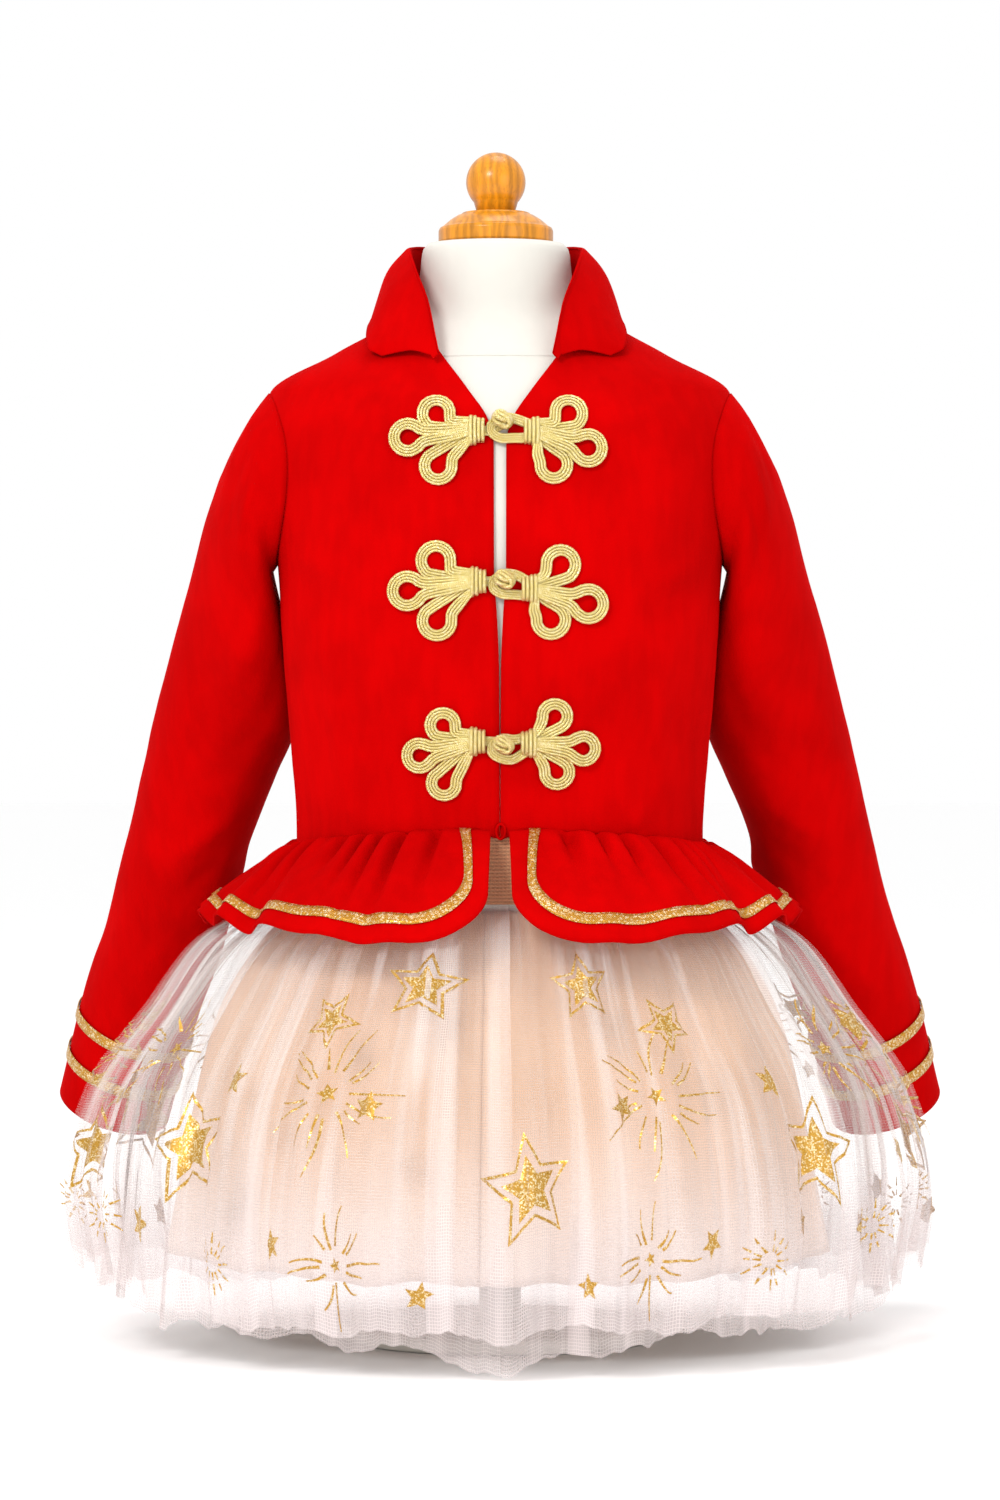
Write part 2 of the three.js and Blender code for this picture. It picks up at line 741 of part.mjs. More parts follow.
// Skirt
function layerPoint(layer, share, column, turn) {
  const row = readRow(layer.profile, 'share', share);
  const fold = foldHeight(column, turn, layer.lean) * layer.depth * share ** 0.8;
  const frontness = Math.abs(Math.cos(turn)) ** 1.2;
  const across = (row.halfWidth * Math.sin(turn)) / layer.point.halfWidth;
  const point = Math.cos(turn) > 0 ? layer.point.depth * Math.exp(-across * across) : 0;
  const spread = Math.min(1, share * 3);
  const section = {
    halfWidth: row.halfWidth + fold,
    halfDepth: row.halfWidth * row.depthRatio + fold,
    middleY: lerp(-2, 0, spread),
    squareness: lerp(2.2, 2, spread),
  };
  return ovalPoint(section, turn, row.z - (layer.dip * frontness + point) * share ** 3);
}

function addSkirtLayer(layer) {
  const columns = layer.folds * 4;
  const turns = Array.from({ length: columns }, (_, c) => foldAngle(c, columns, layer.lean));
  const grid = layer.rows.map((share) => turns.map((turn, c) => layerPoint(layer, share, c, turn)));
  const upright = grid.reverse();
  addMesh(layer.name, layer.colour, wallGeometry(upright, tulleWall, true));
}

function addWaistband() {
  const columns = 40;
  const inset = -2.6;
  const turns = evenly(columns, 0, Math.PI * 2).slice(0, -1);
  const grid = evenly(2, waistbandBottomZ, waistbandTopZ).map((z) => (
    turns.map((turn) => bodyPoint(turn, z, inset))
  ));
  addMesh('skirt_waistband', colours.elastic, wallGeometry(grid, elasticWall, true));
}

// Dress form
function addForm() {
  const turns = evenly(24, 0, Math.PI * 2).slice(0, -1);
  const torsoHeights = [hipZ, 200, 262, 310, 362, 412, 462, 500, 530, 552, 566, 580, 594, 606];
  const rings = torsoHeights.map((z) => (
    turns.map((turn) => bodyPoint(turn, z, -read(formClearance, 'z', 'inset', z)))
  ));
  rings[0].forEach((point) => point.setZ(hipZ));
  for (const section of neckSections) {
    rings.push(turns.map((turn) => ovalPoint(section, turn, section.z)));
  }
  addMesh('form_torso', colours.jersey, stackGeometry(rings));

  const cap = [
    [0, capBand.bottomZ],
    [capBand.radius - 1, capBand.bottomZ],
    [capBand.radius, capBand.bottomZ + 1],
    [capBand.radius, capBand.shoulderZ],
    [capBand.topRadius + 3, capBand.topZ - 1.5],
    [capBand.topRadius, capBand.topZ],
    [0, capBand.topZ],
  ];
  addMesh('form_cap', colours.wood, turnedGeometry(cap, 24).translate(neckShift, 8, 0), 0.35);

  const knobMiddle = knobTopZ - knobRadius;
  const footZ = capBand.topZ + seamGap;
  const footAngle = Math.acos((knobMiddle - footZ) / knobRadius);
  const knob = [[0, footZ]];
  for (const turn of evenly(8, footAngle, Math.PI)) {
    knob.push([knobRadius * Math.sin(turn), knobMiddle - knobRadius * Math.cos(turn)]);
  }
  knob[knob.length - 1][0] = 0;
  addMesh('form_knob', colours.wood, turnedGeometry(knob, 18).translate(neckShift, 8, 0), 0.35);

  const postProfile = [
    [0, post.bottomZ],
    [post.radius, post.bottomZ],
    [post.radius, hipZ - seamGap],
    [0, hipZ - seamGap],
  ];
  addMesh('form_post', colours.paint, turnedGeometry(postProfile, 16), 0.4);

  const baseProfile = [
    [0, 0],
    [base.radius - 1, 0],
    [base.radius, 1],
    [base.radius, base.height - base.bevel],
    [base.radius - base.bevel, base.height],
    [0, base.height],
  ];
  addMesh('form_base', colours.paint, turnedGeometry(baseProfile, 28), 0.4);
}

const wasm = await Module();
wasm.setup();
addForm();
addJacketBody();
addSleeves();
addCollar();
addPeplum();
addFrogs(wasm);
addWaistband();
skirtLayers.forEach(addSkirtLayer);

export default costume;
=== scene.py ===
"""Looks of a child's stage costume on a dress form: a red velvet jacket with gold frogs over a tulle skirt.

The tables are in millimetres and the pieces in metres, +Z up, with the front facing -Y.
"""

import math
from bisect import bisect_right

import bmesh
import bpy
from mathutils import Matrix, Vector, noise


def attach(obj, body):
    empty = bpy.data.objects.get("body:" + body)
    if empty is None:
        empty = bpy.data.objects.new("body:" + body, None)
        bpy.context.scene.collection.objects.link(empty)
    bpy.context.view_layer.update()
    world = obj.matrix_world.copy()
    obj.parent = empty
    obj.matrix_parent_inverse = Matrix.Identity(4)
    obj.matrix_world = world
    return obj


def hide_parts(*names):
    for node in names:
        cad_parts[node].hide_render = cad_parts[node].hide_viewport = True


bl_info = {
    "name": "Stage costume on a dress form",
    "version": (1, 0, 0),
    "blender": (4, 5, 0),
    "location": "View3D > Sidebar > Costume",
    "description": "Builds the looks of a velvet jacket with frogs and a tulle skirt round the packed frame",
    "category": "Object",
}

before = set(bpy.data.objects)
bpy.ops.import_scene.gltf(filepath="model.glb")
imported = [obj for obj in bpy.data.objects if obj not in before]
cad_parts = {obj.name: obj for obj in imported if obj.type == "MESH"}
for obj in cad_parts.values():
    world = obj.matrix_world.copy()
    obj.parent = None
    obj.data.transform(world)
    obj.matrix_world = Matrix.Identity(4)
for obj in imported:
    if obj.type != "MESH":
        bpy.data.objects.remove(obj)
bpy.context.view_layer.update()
MM = 0.001
SAME_PLACE = 1e-6
SAME_PLACE_ON_A_CORD = 1e-7
TURNED_EDGE = 0.6


# Curves through tables


class Curve:
    """A smooth line through one column of a table, which never swings past a row."""

    def __init__(self, keys, values):
        self.keys = keys
        self.values = values
        last = len(keys) - 1
        climb = [(values[i + 1] - values[i]) / (keys[i + 1] - keys[i]) for i in range(last)]
        self.slopes = [climb[0]]
        for before, after in zip(climb, climb[1:]):
            self.slopes.append(2 * before * after / (before + after) if before * after > 0 else 0.0)
        self.slopes.append(climb[-1])

    def __call__(self, at):
        i = min(max(bisect_right(self.keys, at) - 1, 0), len(self.keys) - 2)
        width = self.keys[i + 1] - self.keys[i]
        t = min(max((at - self.keys[i]) / width, 0.0), 1.0)
        start, end = self.slopes[i] * width, self.slopes[i + 1] * width
        rise = self.values[i + 1] - self.values[i]
        turn = (3 * rise - 2 * start - end) * t * t + (start + end - 2 * rise) * t**3
        return self.values[i] + start * t + turn


def curves(columns, rows):
    """One curve for each column of a table but the first, which they all run along."""
    keys = [row[0] for row in rows]
    return {name: Curve(keys, [row[i] for row in rows]) for i, name in enumerate(columns) if i}


def lerp(a, b, t):
    return a + (b - a) * t


def clamp(value, low=0.0, high=1.0):
    return min(max(value, low), high)


def smooth(value, low=0.0, high=1.0):
    t = clamp((value - low) / (high - low))
    return t * t * (3 - 2 * t)


def power(value, exponent):
    return math.copysign(abs(value) ** exponent, value)


# The body under the jacket, and what the jacket's cut follows

BODY = curves(
    ("z", "half_width", "half_depth", "middle_y", "squareness"),
    [
        (110, 118, 84, 0, 2.2),
        (200, 126, 90, -1, 2.2),
        (262, 123, 88, -2, 2.2),
        (303, 121.5, 86, -2, 2.25),
        (352, 125, 88, -3, 2.3),
        (412, 130, 92, -3, 2.4),
        (462, 133, 92, -3, 2.4),
        (514, 140, 88, -2, 2.3),
        (545, 142, 80, 0, 2.2),
        (566, 138, 70, 2, 2.1),
        (590, 98, 57, 4, 2),
        (606, 70, 49, 6, 2),
        (616, 55, 44, 7, 2),
    ],
)
FORM_INSET = curves(("z", "inset"), [(110, 7), (310, 5.6), (420, 4.2), (540, 3.2), (570, 4.3), (606, 3.4)])
NECK = curves(
    ("z", "half_width", "half_depth", "middle_x", "middle_y"),
    [
        (611, 52, 41.5, -0.5, 7),
        (621, 48, 41.5, -1.5, 8),
        (638, 45.6, 41.5, -2.5, 8),
        (652, 44, 40.5, -2.5, 8),
        (656, 41, 38, -2.5, 8),
    ],
)
FRONT_OPENING = curves(
    ("z", "half_width"),
    [
        (290, 0.1),
        (400, 0.5),
        (432, 1.8),
        (455, 3.4),
        (532, 3.6),
        (544, 6.5),
        (564, 19),
        (585, 34),
        (600, 43),
        (616, 50),
    ],
)
WAIST_SEAM = curves(("angle", "z"), [(0, 306), (50, 299), (90, 292), (130, 303), (180, 311)])
SLEEVE = curves(
    ("run", "outer_x", "outer_z", "inner_x", "inner_z", "middle_y", "half_depth", "tilt"),
    [
        (14, 151, 551, 137, 457, 1, 48.5, 2),
        (33, 164, 526, 134, 446, 6, 50, 6),
        (56, 174, 500, 130.3, 430, 14, 49, 10),
        (90, 185, 464, 126.5, 405, 28, 47.5, 16),
        (132, 199, 418, 123, 376, 46, 45, 20),
        (182, 213, 366, 138, 338, 67, 42, 22),
        (240, 227.5, 311, 156, 291, 90, 40, 23),
        (302, 242, 256, 171, 235, 116, 39, 23),
        (362, 260, 206, 190, 184, 140, 38, 23),
        (436, 278.5, 137, 210, 118, 166, 36, 23),
    ],
)
SLEEVE_START, SLEEVE_END = 14, 436
CUFF_BANDS = (("upper", 377, 384), ("lower", 404, 411))
RIBBON_OUT = 0.5
COLLAR = curves(
    ("share", "fold_x", "fold_y", "fold_z", "edge_x", "edge_y", "edge_z", "stand"),
    [
        (0, 34, -61, 586, 68, -46, 585, 4),
        (0.1, 36, -58, 597, 76, -41, 590, 11),
        (0.25, 40, -50, 616, 78, -28, 599, 22.3),
        (0.42, 48, -32, 638, 77, -8, 607, 29.3),
        (0.6, 52, -2, 652, 76, 14, 608, 35),
        (0.8, 44, 38, 657, 60, 52, 607, 40),
        (1, 0, 58, 658, 0, 74, 604, 41),
    ],
)
NECK_SHIFT, NECK_BACK = -2.5, 8
ARMHOLE_LOW, ARMHOLE_HIGH, ARMHOLE_HALF_DEPTH = 462, 566, 46
ARMHOLE_MIDDLE = (ARMHOLE_LOW + ARMHOLE_HIGH) / 2
ARMHOLE_HALF_HEIGHT = (ARMHOLE_HIGH - ARMHOLE_LOW) / 2
SHOULDER_TOP = 611
SEAM_GAP = 0.5


def oval(angle, z, half_width, half_depth, middle_x, middle_y, squareness):
    """A place on a rounded section, an ellipse at squareness 2. The angle runs from the front toward +X."""
    roundness = 2 / squareness
    return Vector((
        middle_x + half_width * power(math.sin(angle), roundness),
        middle_y - half_depth * power(math.cos(angle), roundness),
        z,
    ))


def body_skin(angle, z):
    return oval(
        angle, z, BODY["half_width"](z), BODY["half_depth"](z), 0, BODY["middle_y"](z), BODY["squareness"](z)
    )


def body_normal(angle, z):
    across = body_skin(angle + 0.02, z) - body_skin(angle - 0.02, z)
    along = body_skin(angle, z + 1) - body_skin(angle, z - 1)
    return across.cross(along).normalized()


def body_point(angle, z, out=0.0):
    point = body_skin(angle, z)
    return point + body_normal(angle, z) * out if out else point


def angle_at_width(x, z):
    """Where the body's section reaches a distance to the side, on the front half."""
    share = clamp(abs(x) / BODY["half_width"](z))
    return math.copysign(math.asin(share ** (BODY["squareness"](z) / 2)), x)


def angle_at_depth(depth, z):
    """Where the body's section comes within a depth of its middle, on the front half."""
    share = clamp(abs(depth) / BODY["half_depth"](z))
    return math.acos(share ** (BODY["squareness"](z) / 2))


def seam_height(angle):
    turned = abs((math.degrees(angle) + 540) % 360 - 180)
    return WAIST_SEAM["z"](turned)


def armhole_depth(z):
    """Half the armhole's depth at a height; above and below it, half of the seam's gap."""
    share = clamp((z - ARMHOLE_MIDDLE) / ARMHOLE_HALF_HEIGHT, -1, 1)
    return max(ARMHOLE_HALF_DEPTH * math.sqrt(1 - share * share), SEAM_GAP / 2)


# Creases: soft troughs and ridges along short lines


def crease_depth(creases, a, b):
    """How far the cloth lies out, or in where it is negative, at a place on the sheet."""
    total = 0.0
    for from_a, from_b, to_a, to_b, width, depth in creases:
        run_a, run_b = to_a - from_a, to_b - from_b
        long = run_a * run_a + run_b * run_b
        t = ((a - from_a) * run_a + (b - from_b) * run_b) / long
        if -0.4 < t < 1.4:
            held = clamp(t)
            gap = math.hypot(a - from_a - held * run_a, b - from_b - held * run_b)
            if gap < 3 * width:
                bend = 1 - 0.35 * math.sin(3.1 * t + from_a)
                ends = math.sin(math.pi * clamp(0.12 + 0.76 * t))
                total += depth * bend * math.exp(-((gap / width) ** 2)) * ends
    return total


def cloud(x, y, z, size, seed=0.0):
    return noise.noise(Vector((x / size + seed, y / size - seed, z / size + 0.5 * seed)))


# Meshes


def finish_mesh(name, bm, material, nodes=()):
    for face in bm.faces:
        face.smooth = True
    mesh = bpy.data.meshes.new(name)
    bm.to_mesh(mesh)
    bm.free()
    piece = bpy.data.objects.new(name, mesh)
    bpy.context.scene.collection.objects.link(piece)
    mesh.materials.append(material)
    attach(piece, "root")
    if nodes:
        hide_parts(*nodes)
    return piece


def lay_grid(bm, across, along, place, cut=(1.0, 1.0)):
    """A grid laid out by place(u, v) in millimetres; its UV map is the flat cut in metres."""
    uv = bm.loops.layers.uv.verify()
    made = bmesh.ops.create_grid(bm, x_segments=across, y_segments=along, size=0.5, calc_uvs=True)
    faces = {face for vert in made["verts"] for face in vert.link_faces}
    for face in faces:
        for loop in face.loops:
            loop[uv].uv = ((loop.vert.co.x + 0.5) * cut[0], (loop.vert.co.y + 0.5) * cut[1])
    for vert in made["verts"]:
        vert.co = place(vert.co.x + 0.5, vert.co.y + 0.5) * MM


def cloth(name, across, along, place, cut, material, nodes=(), wall=0.0, round_it=False):
    """A sheet of cloth laid by place(u, v), closed into a tube if round_it, with its wall grown inwards."""
    bm = bmesh.new()
    lay_grid(bm, across, along, place, cut)
    if round_it:
        bmesh.ops.remove_doubles(bm, verts=bm.verts, dist=SAME_PLACE)
    piece = finish_mesh(name, bm, material, nodes)
    if wall:
        thick = piece.modifiers.new("wall", "SOLIDIFY")
        thick.thickness = wall
        thick.offset = -1
        thick.use_even_offset = False
    return piece


def tube(bm, path, radius, sides=8, twist=0.0, lobes=2, waviness=0.0, closed=False):
    """A cord along points in millimetres. Its section has lobes that turn along it, as twisted strands do."""
    last = len(path) - 1
    lengths = [0.0]
    for a, b in zip(path, path[1:]):
        lengths.append(lengths[-1] + (b - a).length)
    frames = []
    up = None
    for i, point in enumerate(path):
        if closed:
            ahead = path[(i + 1) % last] - path[(i - 1) % last]
        else:
            ahead = path[min(i + 1, last)] - path[max(i - 1, 0)]
        ahead.normalize()
        side = up if up is not None else ahead.orthogonal()
        side = (side - ahead * side.dot(ahead)).normalized()
        frames.append((point, side, ahead.cross(side)))
        up = side

    def place(u, v):
        row = min(round(v * last), last)
        point, side, across = frames[0 if closed and row == last else row]
        turn = 2 * math.pi * u
        size = radius * (1 - waviness + waviness * math.cos(lobes * (turn - twist * lengths[row])))
        return point + side * (math.cos(turn) * size) + across * (math.sin(turn) * size)

    start = len(bm.verts)
    lay_grid(bm, sides, last, place, (2 * math.pi * radius * MM, lengths[-1] * MM))
    bm.verts.ensure_lookup_table()
    bmesh.ops.remove_doubles(bm, verts=bm.verts[start:], dist=SAME_PLACE_ON_A_CORD)


def close_ends(bm):
    rims = [edge for edge in bm.edges if edge.is_boundary]
    if rims:
        bmesh.ops.holes_fill(bm, edges=rims, sides=0)


def lathe(name, profile, centre, material, node, steps=72):
    """A turned piece: radius and height pairs from the axis out and back to the axis."""
    bm = bmesh.new()
    verts = [bm.verts.new((radius * MM, 0, z * MM)) for radius, z in profile]
    edges = [bm.edges.new(pair) for pair in zip(verts, verts[1:])]
    bmesh.ops.spin(
        bm, geom=verts + edges, axis=(0, 0, 1), cent=(0, 0, 0), angle=2 * math.pi, steps=steps, use_merge=True
    )
    bmesh.ops.remove_doubles(bm, verts=bm.verts, dist=SAME_PLACE)
    bmesh.ops.recalc_face_normals(bm, faces=bm.faces)
    bmesh.ops.translate(bm, verts=bm.verts, vec=Vector(centre) * MM)
    piece = finish_mesh(name, bm, material, [node])
    rounding = piece.modifiers.new("edges", "BEVEL")
    rounding.width = TURNED_EDGE * MM
    rounding.segments = 3
    rounding.limit_method = "ANGLE"
    rounding.angle_limit = math.radians(25)
    rounding.harden_normals = True


# Shader nodes


def feed(tree, socket, value):
    """Links a value that comes from another node, or writes a plain one on the socket."""
    if isinstance(value, bpy.types.NodeSocket):
        tree.links.new(value, socket)
    else:
        socket.default_value = value


def node(tree, kind, inputs, **settings):
    made = tree.nodes.new(kind)
    for name, value in settings.items():
        setattr(made, name, value)
    for name, value in inputs.items():
        feed(tree, made.inputs[name], value)
    return made


def maths(tree, operation, a, b=0.0, clamped=False):
    return node(tree, "ShaderNodeMath", {0: a, 1: b}, operation=operation, use_clamp=clamped).outputs[0]


def ramp(tree, value, low, high, to_low=0.0, to_high=1.0):
    return node(
        tree,
        "ShaderNodeMapRange",
        {"Value": value, "From Min": low, "From Max": high, "To Min": to_low, "To Max": to_high},
        interpolation_type="SMOOTHSTEP",
    ).outputs[0]


def mixed(tree, share, first, second):
    """A colour between two colours; the colour sockets of a Mix node are its seventh and eighth."""
    return node(tree, "ShaderNodeMix", {0: share, 6: first, 7: second}, data_type="RGBA").outputs[2]


def height_of(tree, place):
    """The Z of a place, in metres."""
    return node(tree, "ShaderNodeSeparateXYZ", {0: place}).outputs[2]


def weighed(tree, *pairs):
    """The sum of values, each times its weight."""
    total = None
    for value, weight in pairs:
        part = maths(tree, "MULTIPLY", value, weight)
        total = part if total is None else maths(tree, "ADD", total, part)
    return total


def group(name, inputs, outputs, fill):
    """A node group made once. fill(tree, sockets in) gives the outputs by name."""
    if name in bpy.data.node_groups:
        return bpy.data.node_groups[name]
    tree = bpy.data.node_groups.new(name, "ShaderNodeTree")
    for socket, (kind, default) in inputs.items():
        made = tree.interface.new_socket(socket, in_out="INPUT", socket_type="NodeSocket" + kind)
        if default is not None:
            made.default_value = default
    for socket, kind in outputs.items():
        tree.interface.new_socket(socket, in_out="OUTPUT", socket_type="NodeSocket" + kind)
    enters = tree.nodes.new("NodeGroupInput")
    leaves = tree.nodes.new("NodeGroupOutput")
    for socket, value in fill(tree, enters.outputs).items():
        tree.links.new(value, leaves.inputs[socket])
    return tree


def use(tree, made_group, **inputs):
    return node(tree, "ShaderNodeGroup", inputs, node_tree=made_group).outputs


def fill_nap(tree, given):
    """Pile that leans this way and that: broad patches, brushed streaks and fine fibres."""
    patches = node(tree, "ShaderNodeTexNoise", {"Vector": given["Place"], "Scale": 16.0, "Detail": 3.0})
    brushed = node(tree, "ShaderNodeMapping", {"Vector": given["Place"], "Scale": (1.0, 1.0, 0.25)})
    streaks = node(tree, "ShaderNodeTexNoise", {"Vector": brushed.outputs[0], "Scale": 130.0, "Detail": 2.0})
    fibres = node(tree, "ShaderNodeTexNoise", {"Vector": given["Place"], "Scale": 2600.0, "Detail": 1.0})
    patched = ramp(tree, patches.outputs[0], 0.36, 0.66)
    streaked = ramp(tree, streaks.outputs[0], 0.35, 0.65)
    lean = weighed(tree, (patched, 0.7), (streaked, 0.3))
    return {"Lean": lean, "Height": weighed(tree, (fibres.outputs[0], 0.6), (lean, 0.8))}


def nap_group():
    return group("pile nap", {"Place": ("Vector", None)}, {"Lean": "Float", "Height": "Float"}, fill_nap)


def fill_net(tree, given):
    """Fine netting: how much thread covers each place, and where gathers crowd it."""
    holes = maths(tree, "DIVIDE", 1.0, given["Hole"])
    scaled = node(tree, "ShaderNodeVectorMath", {0: given["Place"], "Scale": holes}, operation="SCALE")
    cells = node(
        tree, "ShaderNodeTexVoronoi", {"Vector": scaled.outputs[0], "Scale": 1.0, "Randomness": 0.25},
        feature="DISTANCE_TO_EDGE", voronoi_dimensions="2D",
    )
    thread = ramp(tree, cells.outputs[0], 0.0, 0.17, 1.0, 0.0)
    pulled = node(tree, "ShaderNodeMapping", {"Vector": given["Place"], "Scale": (1.0, 0.045, 1.0)})
    fine = node(tree, "ShaderNodeTexNoise", {"Vector": pulled.outputs[0], "Scale": 70.0, "Detail": 4.0})
    broad = node(tree, "ShaderNodeTexNoise", {"Vector": pulled.outputs[0], "Scale": 19.0, "Detail": 2.0})
    doubled = node(tree, "ShaderNodeTexNoise", {"Vector": pulled.outputs[0], "Scale": 31.0, "Detail": 1.0})
    crowd = weighed(
        tree,
        (ramp(tree, fine.outputs[0], 0.42, 0.7), 0.5),
        (ramp(tree, broad.outputs[0], 0.4, 0.68), 0.3),
        (ramp(tree, doubled.outputs[0], 0.6, 0.64), 0.6),
    )
    return {"Thread": thread, "Crowd": crowd}


def net_group():
    return group(
        "netting",
        {"Place": ("Vector", None), "Hole": ("Float", 0.0014)},
        {"Thread": "Float", "Crowd": "Float"},
        fill_net,
    )


def fill_glint(tree, given):
    """Metal thread or glitter: small flakes, each at its own brightness. Spark picks the flakes that are
    painted pale as glints, which is painted light.
    """
    flakes = node(
        tree, "ShaderNodeTexVoronoi", {"Vector": given["Place"], "Scale": given["Flakes"]},
        voronoi_dimensions="3D",
    )
    parts = node(tree, "ShaderNodeSeparateColor", {0: flakes.outputs["Color"]})
    spark = ramp(tree, parts.outputs[0], 0.55, 1.0)
    return {"Flake": parts.outputs[1], "Spark": spark}


def glint_group():
    return group(
        "metal glints",
        {"Place": ("Vector", None), "Flakes": ("Float", 900.0)},
        {"Flake": "Float", "Spark": "Float"},
        fill_glint,
    )


def fill_ribs(tree, given):
    """Ribs along a band, and where they cross the ribs across it, as heights between 0 and 1."""
    parts = node(tree, "ShaderNodeSeparateXYZ", {0: given["Place"]})
    across = maths(tree, "SINE", maths(tree, "MULTIPLY", parts.outputs[0], given["Across"]))
    along = maths(tree, "SINE", maths(tree, "MULTIPLY", parts.outputs[1], given["Along"]))
    crossed = maths(tree, "MULTIPLY", across, along)
    return {"Along": ramp(tree, along, -1.0, 1.0), "Crossed": ramp(tree, crossed, -0.6, 0.6)}


def rib_group():
    return group(
        "woven ribs",
        {"Place": ("Vector", None), "Across": ("Float", 6000.0), "Along": ("Float", 6000.0)},
        {"Along": "Float", "Crossed": "Float"},
        fill_ribs,
    )


def fill_grain(tree, given):
    """Wood grain that runs up the turned piece, with finer pores."""
    stretched = node(tree, "ShaderNodeMapping", {"Vector": given["Place"], "Scale": (1.0, 1.0, 0.16)})
    warp = node(tree, "ShaderNodeTexNoise", {"Vector": stretched.outputs[0], "Scale": 55.0, "Detail": 3.0})
    bands = node(tree, "ShaderNodeTexWave", {
        "Vector": stretched.outputs[0], "Scale": 60.0, "Distortion": 7.0, "Detail": 3.0, "Detail Scale": 1.6,
    })
    pores = node(tree, "ShaderNodeTexNoise", {"Vector": stretched.outputs[0], "Scale": 900.0, "Detail": 2.0})
    tone = weighed(tree, (bands.outputs["Fac"], 0.55), (ramp(tree, warp.outputs[0], 0.3, 0.7), 0.45))
    return {"Tone": tone, "Pores": ramp(tree, pores.outputs[0], 0.5, 0.72)}


def grain_group():
    return group("wood grain", {"Place": ("Vector", None)}, {"Tone": "Float", "Pores": "Float"}, fill_grain)


# Finishes. The net's hole is in millimetres, and its cover is a share of what is behind it.

# The pale colour of painted glints on the brightest metal flakes.
PAINTED_GLINT_COLOUR = (1.0, 0.93, 0.66, 1.0)
NET_HOLE = 1.4
SINGLE_COVER = {"star tulle": 0.08, "plain tulle": 0.1}
GATHERED_COVER = 0.44


def linear(colour, shade=1.0):
    return tuple(clamp(channel * shade) for channel in colour[:3]) + (1.0,)


def new_material(name, constants):
    """A material with plain values on its shader's own sockets."""
    material = bpy.data.materials.new(name)
    material.use_nodes = True
    tree = material.node_tree
    shader = tree.nodes["Principled BSDF"]
    for socket, value in constants.items():
        shader.inputs[socket].default_value = value
    place = tree.nodes.new("ShaderNodeTexCoord")
    return material, tree, shader, place


def bump(tree, shader, height, strength, distance):
    made = node(tree, "ShaderNodeBump", {"Height": height, "Strength": strength, "Distance": distance})
    tree.links.new(made.outputs[0], shader.inputs["Normal"])


def velvet_material(colours):
    name = "velvet pile"
    if name in bpy.data.materials:
        return bpy.data.materials[name]
    material, tree, shader, place = new_material(name, {
        "Roughness": 0.95, "Specular IOR Level": 0.02,
        "Sheen Weight": 0.12, "Sheen Roughness": 0.4, "Sheen Tint": (1.0, 0.0, 0.0, 1.0),
    })
    nap = use(tree, nap_group(), Place=place.outputs["Object"])
    tone = mixed(tree, nap["Lean"], linear(colours.velvet, 0.86), linear(colours.velvet, 1.08))
    tree.links.new(tone, shader.inputs["Base Color"])
    bump(tree, shader, nap["Height"], 0.25, 0.0004)
    return material


def metal_thread_material(name, colour, shadow, flakes, along, across, roughness=0.42, metallic=0.75):
    """Gold thread or foil. flakes, along and across say how fine its glitter and its weave are."""
    if name in bpy.data.materials:
        return bpy.data.materials[name]
    material, tree, shader, place = new_material(name, {"Metallic": metallic})
    glint = use(tree, glint_group(), Place=place.outputs["Object"], Flakes=flakes)
    ribs = use(tree, rib_group(), Place=place.outputs["UV"], Along=along, Across=across)
    tone = mixed(tree, ribs["Crossed"], linear(shadow), linear(colour))
    # Flakes with a high spark are painted pale: painted glints.
    tone = mixed(tree, maths(tree, "MULTIPLY", glint["Spark"], 0.6), tone, PAINTED_GLINT_COLOUR)
    tree.links.new(tone, shader.inputs["Base Color"])
    rough = ramp(tree, glint["Flake"], 0.0, 1.0, roughness - 0.14, roughness + 0.16)
    tree.links.new(rough, shader.inputs["Roughness"])
    height = maths(tree, "ADD", ribs["Crossed"], maths(tree, "MULTIPLY", glint["Flake"], 0.5))
    bump(tree, shader, height, 0.6, 0.00035)
    return material


def tulle_material(name, colours, cover):
    """Netting. cover is the share that it hides of what is behind it where it lies single. It glows faintly
    in its own colour: painted light, for the light that passes through it.
    """
    material, tree, shader, place = new_material(name, {
        "Roughness": 0.8, "Specular IOR Level": 0.1, "Emission Strength": 0.12,
    })
    net = use(tree, net_group(), Place=place.outputs["UV"], Hole=NET_HOLE * MM)
    height = height_of(tree, place.outputs["Object"])
    low = ramp(tree, height, 0.04, 0.2, 1.0, 0.0)
    tone = mixed(tree, low, linear(colours.tulle), linear(colours.tulle_hem))
    tree.links.new(tone, shader.inputs["Base Color"])
    veil = ramp(tree, net["Crowd"], 0.0, 1.0, cover, GATHERED_COVER)
    hem = ramp(tree, height, 0.02, 0.11, 0.34, 0.0)
    veil = maths(tree, "ADD", veil, hem)
    lacy = maths(tree, "MULTIPLY", maths(tree, "SUBTRACT", net["Thread"], 0.35), 0.3)
    tree.links.new(maths(tree, "ADD", veil, lacy, clamped=True), shader.inputs["Alpha"])
    # A faint glow in the netting's colour: painted light, not a lamp.
    tree.links.new(tone, shader.inputs["Emission Color"])
    return material


def lining_material(colours):
    material, tree, shader, place = new_material("lining", {"Roughness": 0.5, "Sheen Weight": 0.25})
    nap = use(tree, nap_group(), Place=place.outputs["Object"])
    ribs = use(tree, rib_group(), Place=place.outputs["UV"], Along=9000.0, Across=9000.0)
    tone = mixed(tree, nap["Lean"], linear(colours.lining, 0.93), linear(colours.lining, 1.04))
    low = ramp(tree, height_of(tree, place.outputs["Object"]), 0.05, 0.16, 0.85, 0.0)
    tone = mixed(tree, low, tone, linear(colours.lining_hem))
    tree.links.new(tone, shader.inputs["Base Color"])
    bump(tree, shader, ribs["Crossed"], 0.15, 0.0002)
    return material


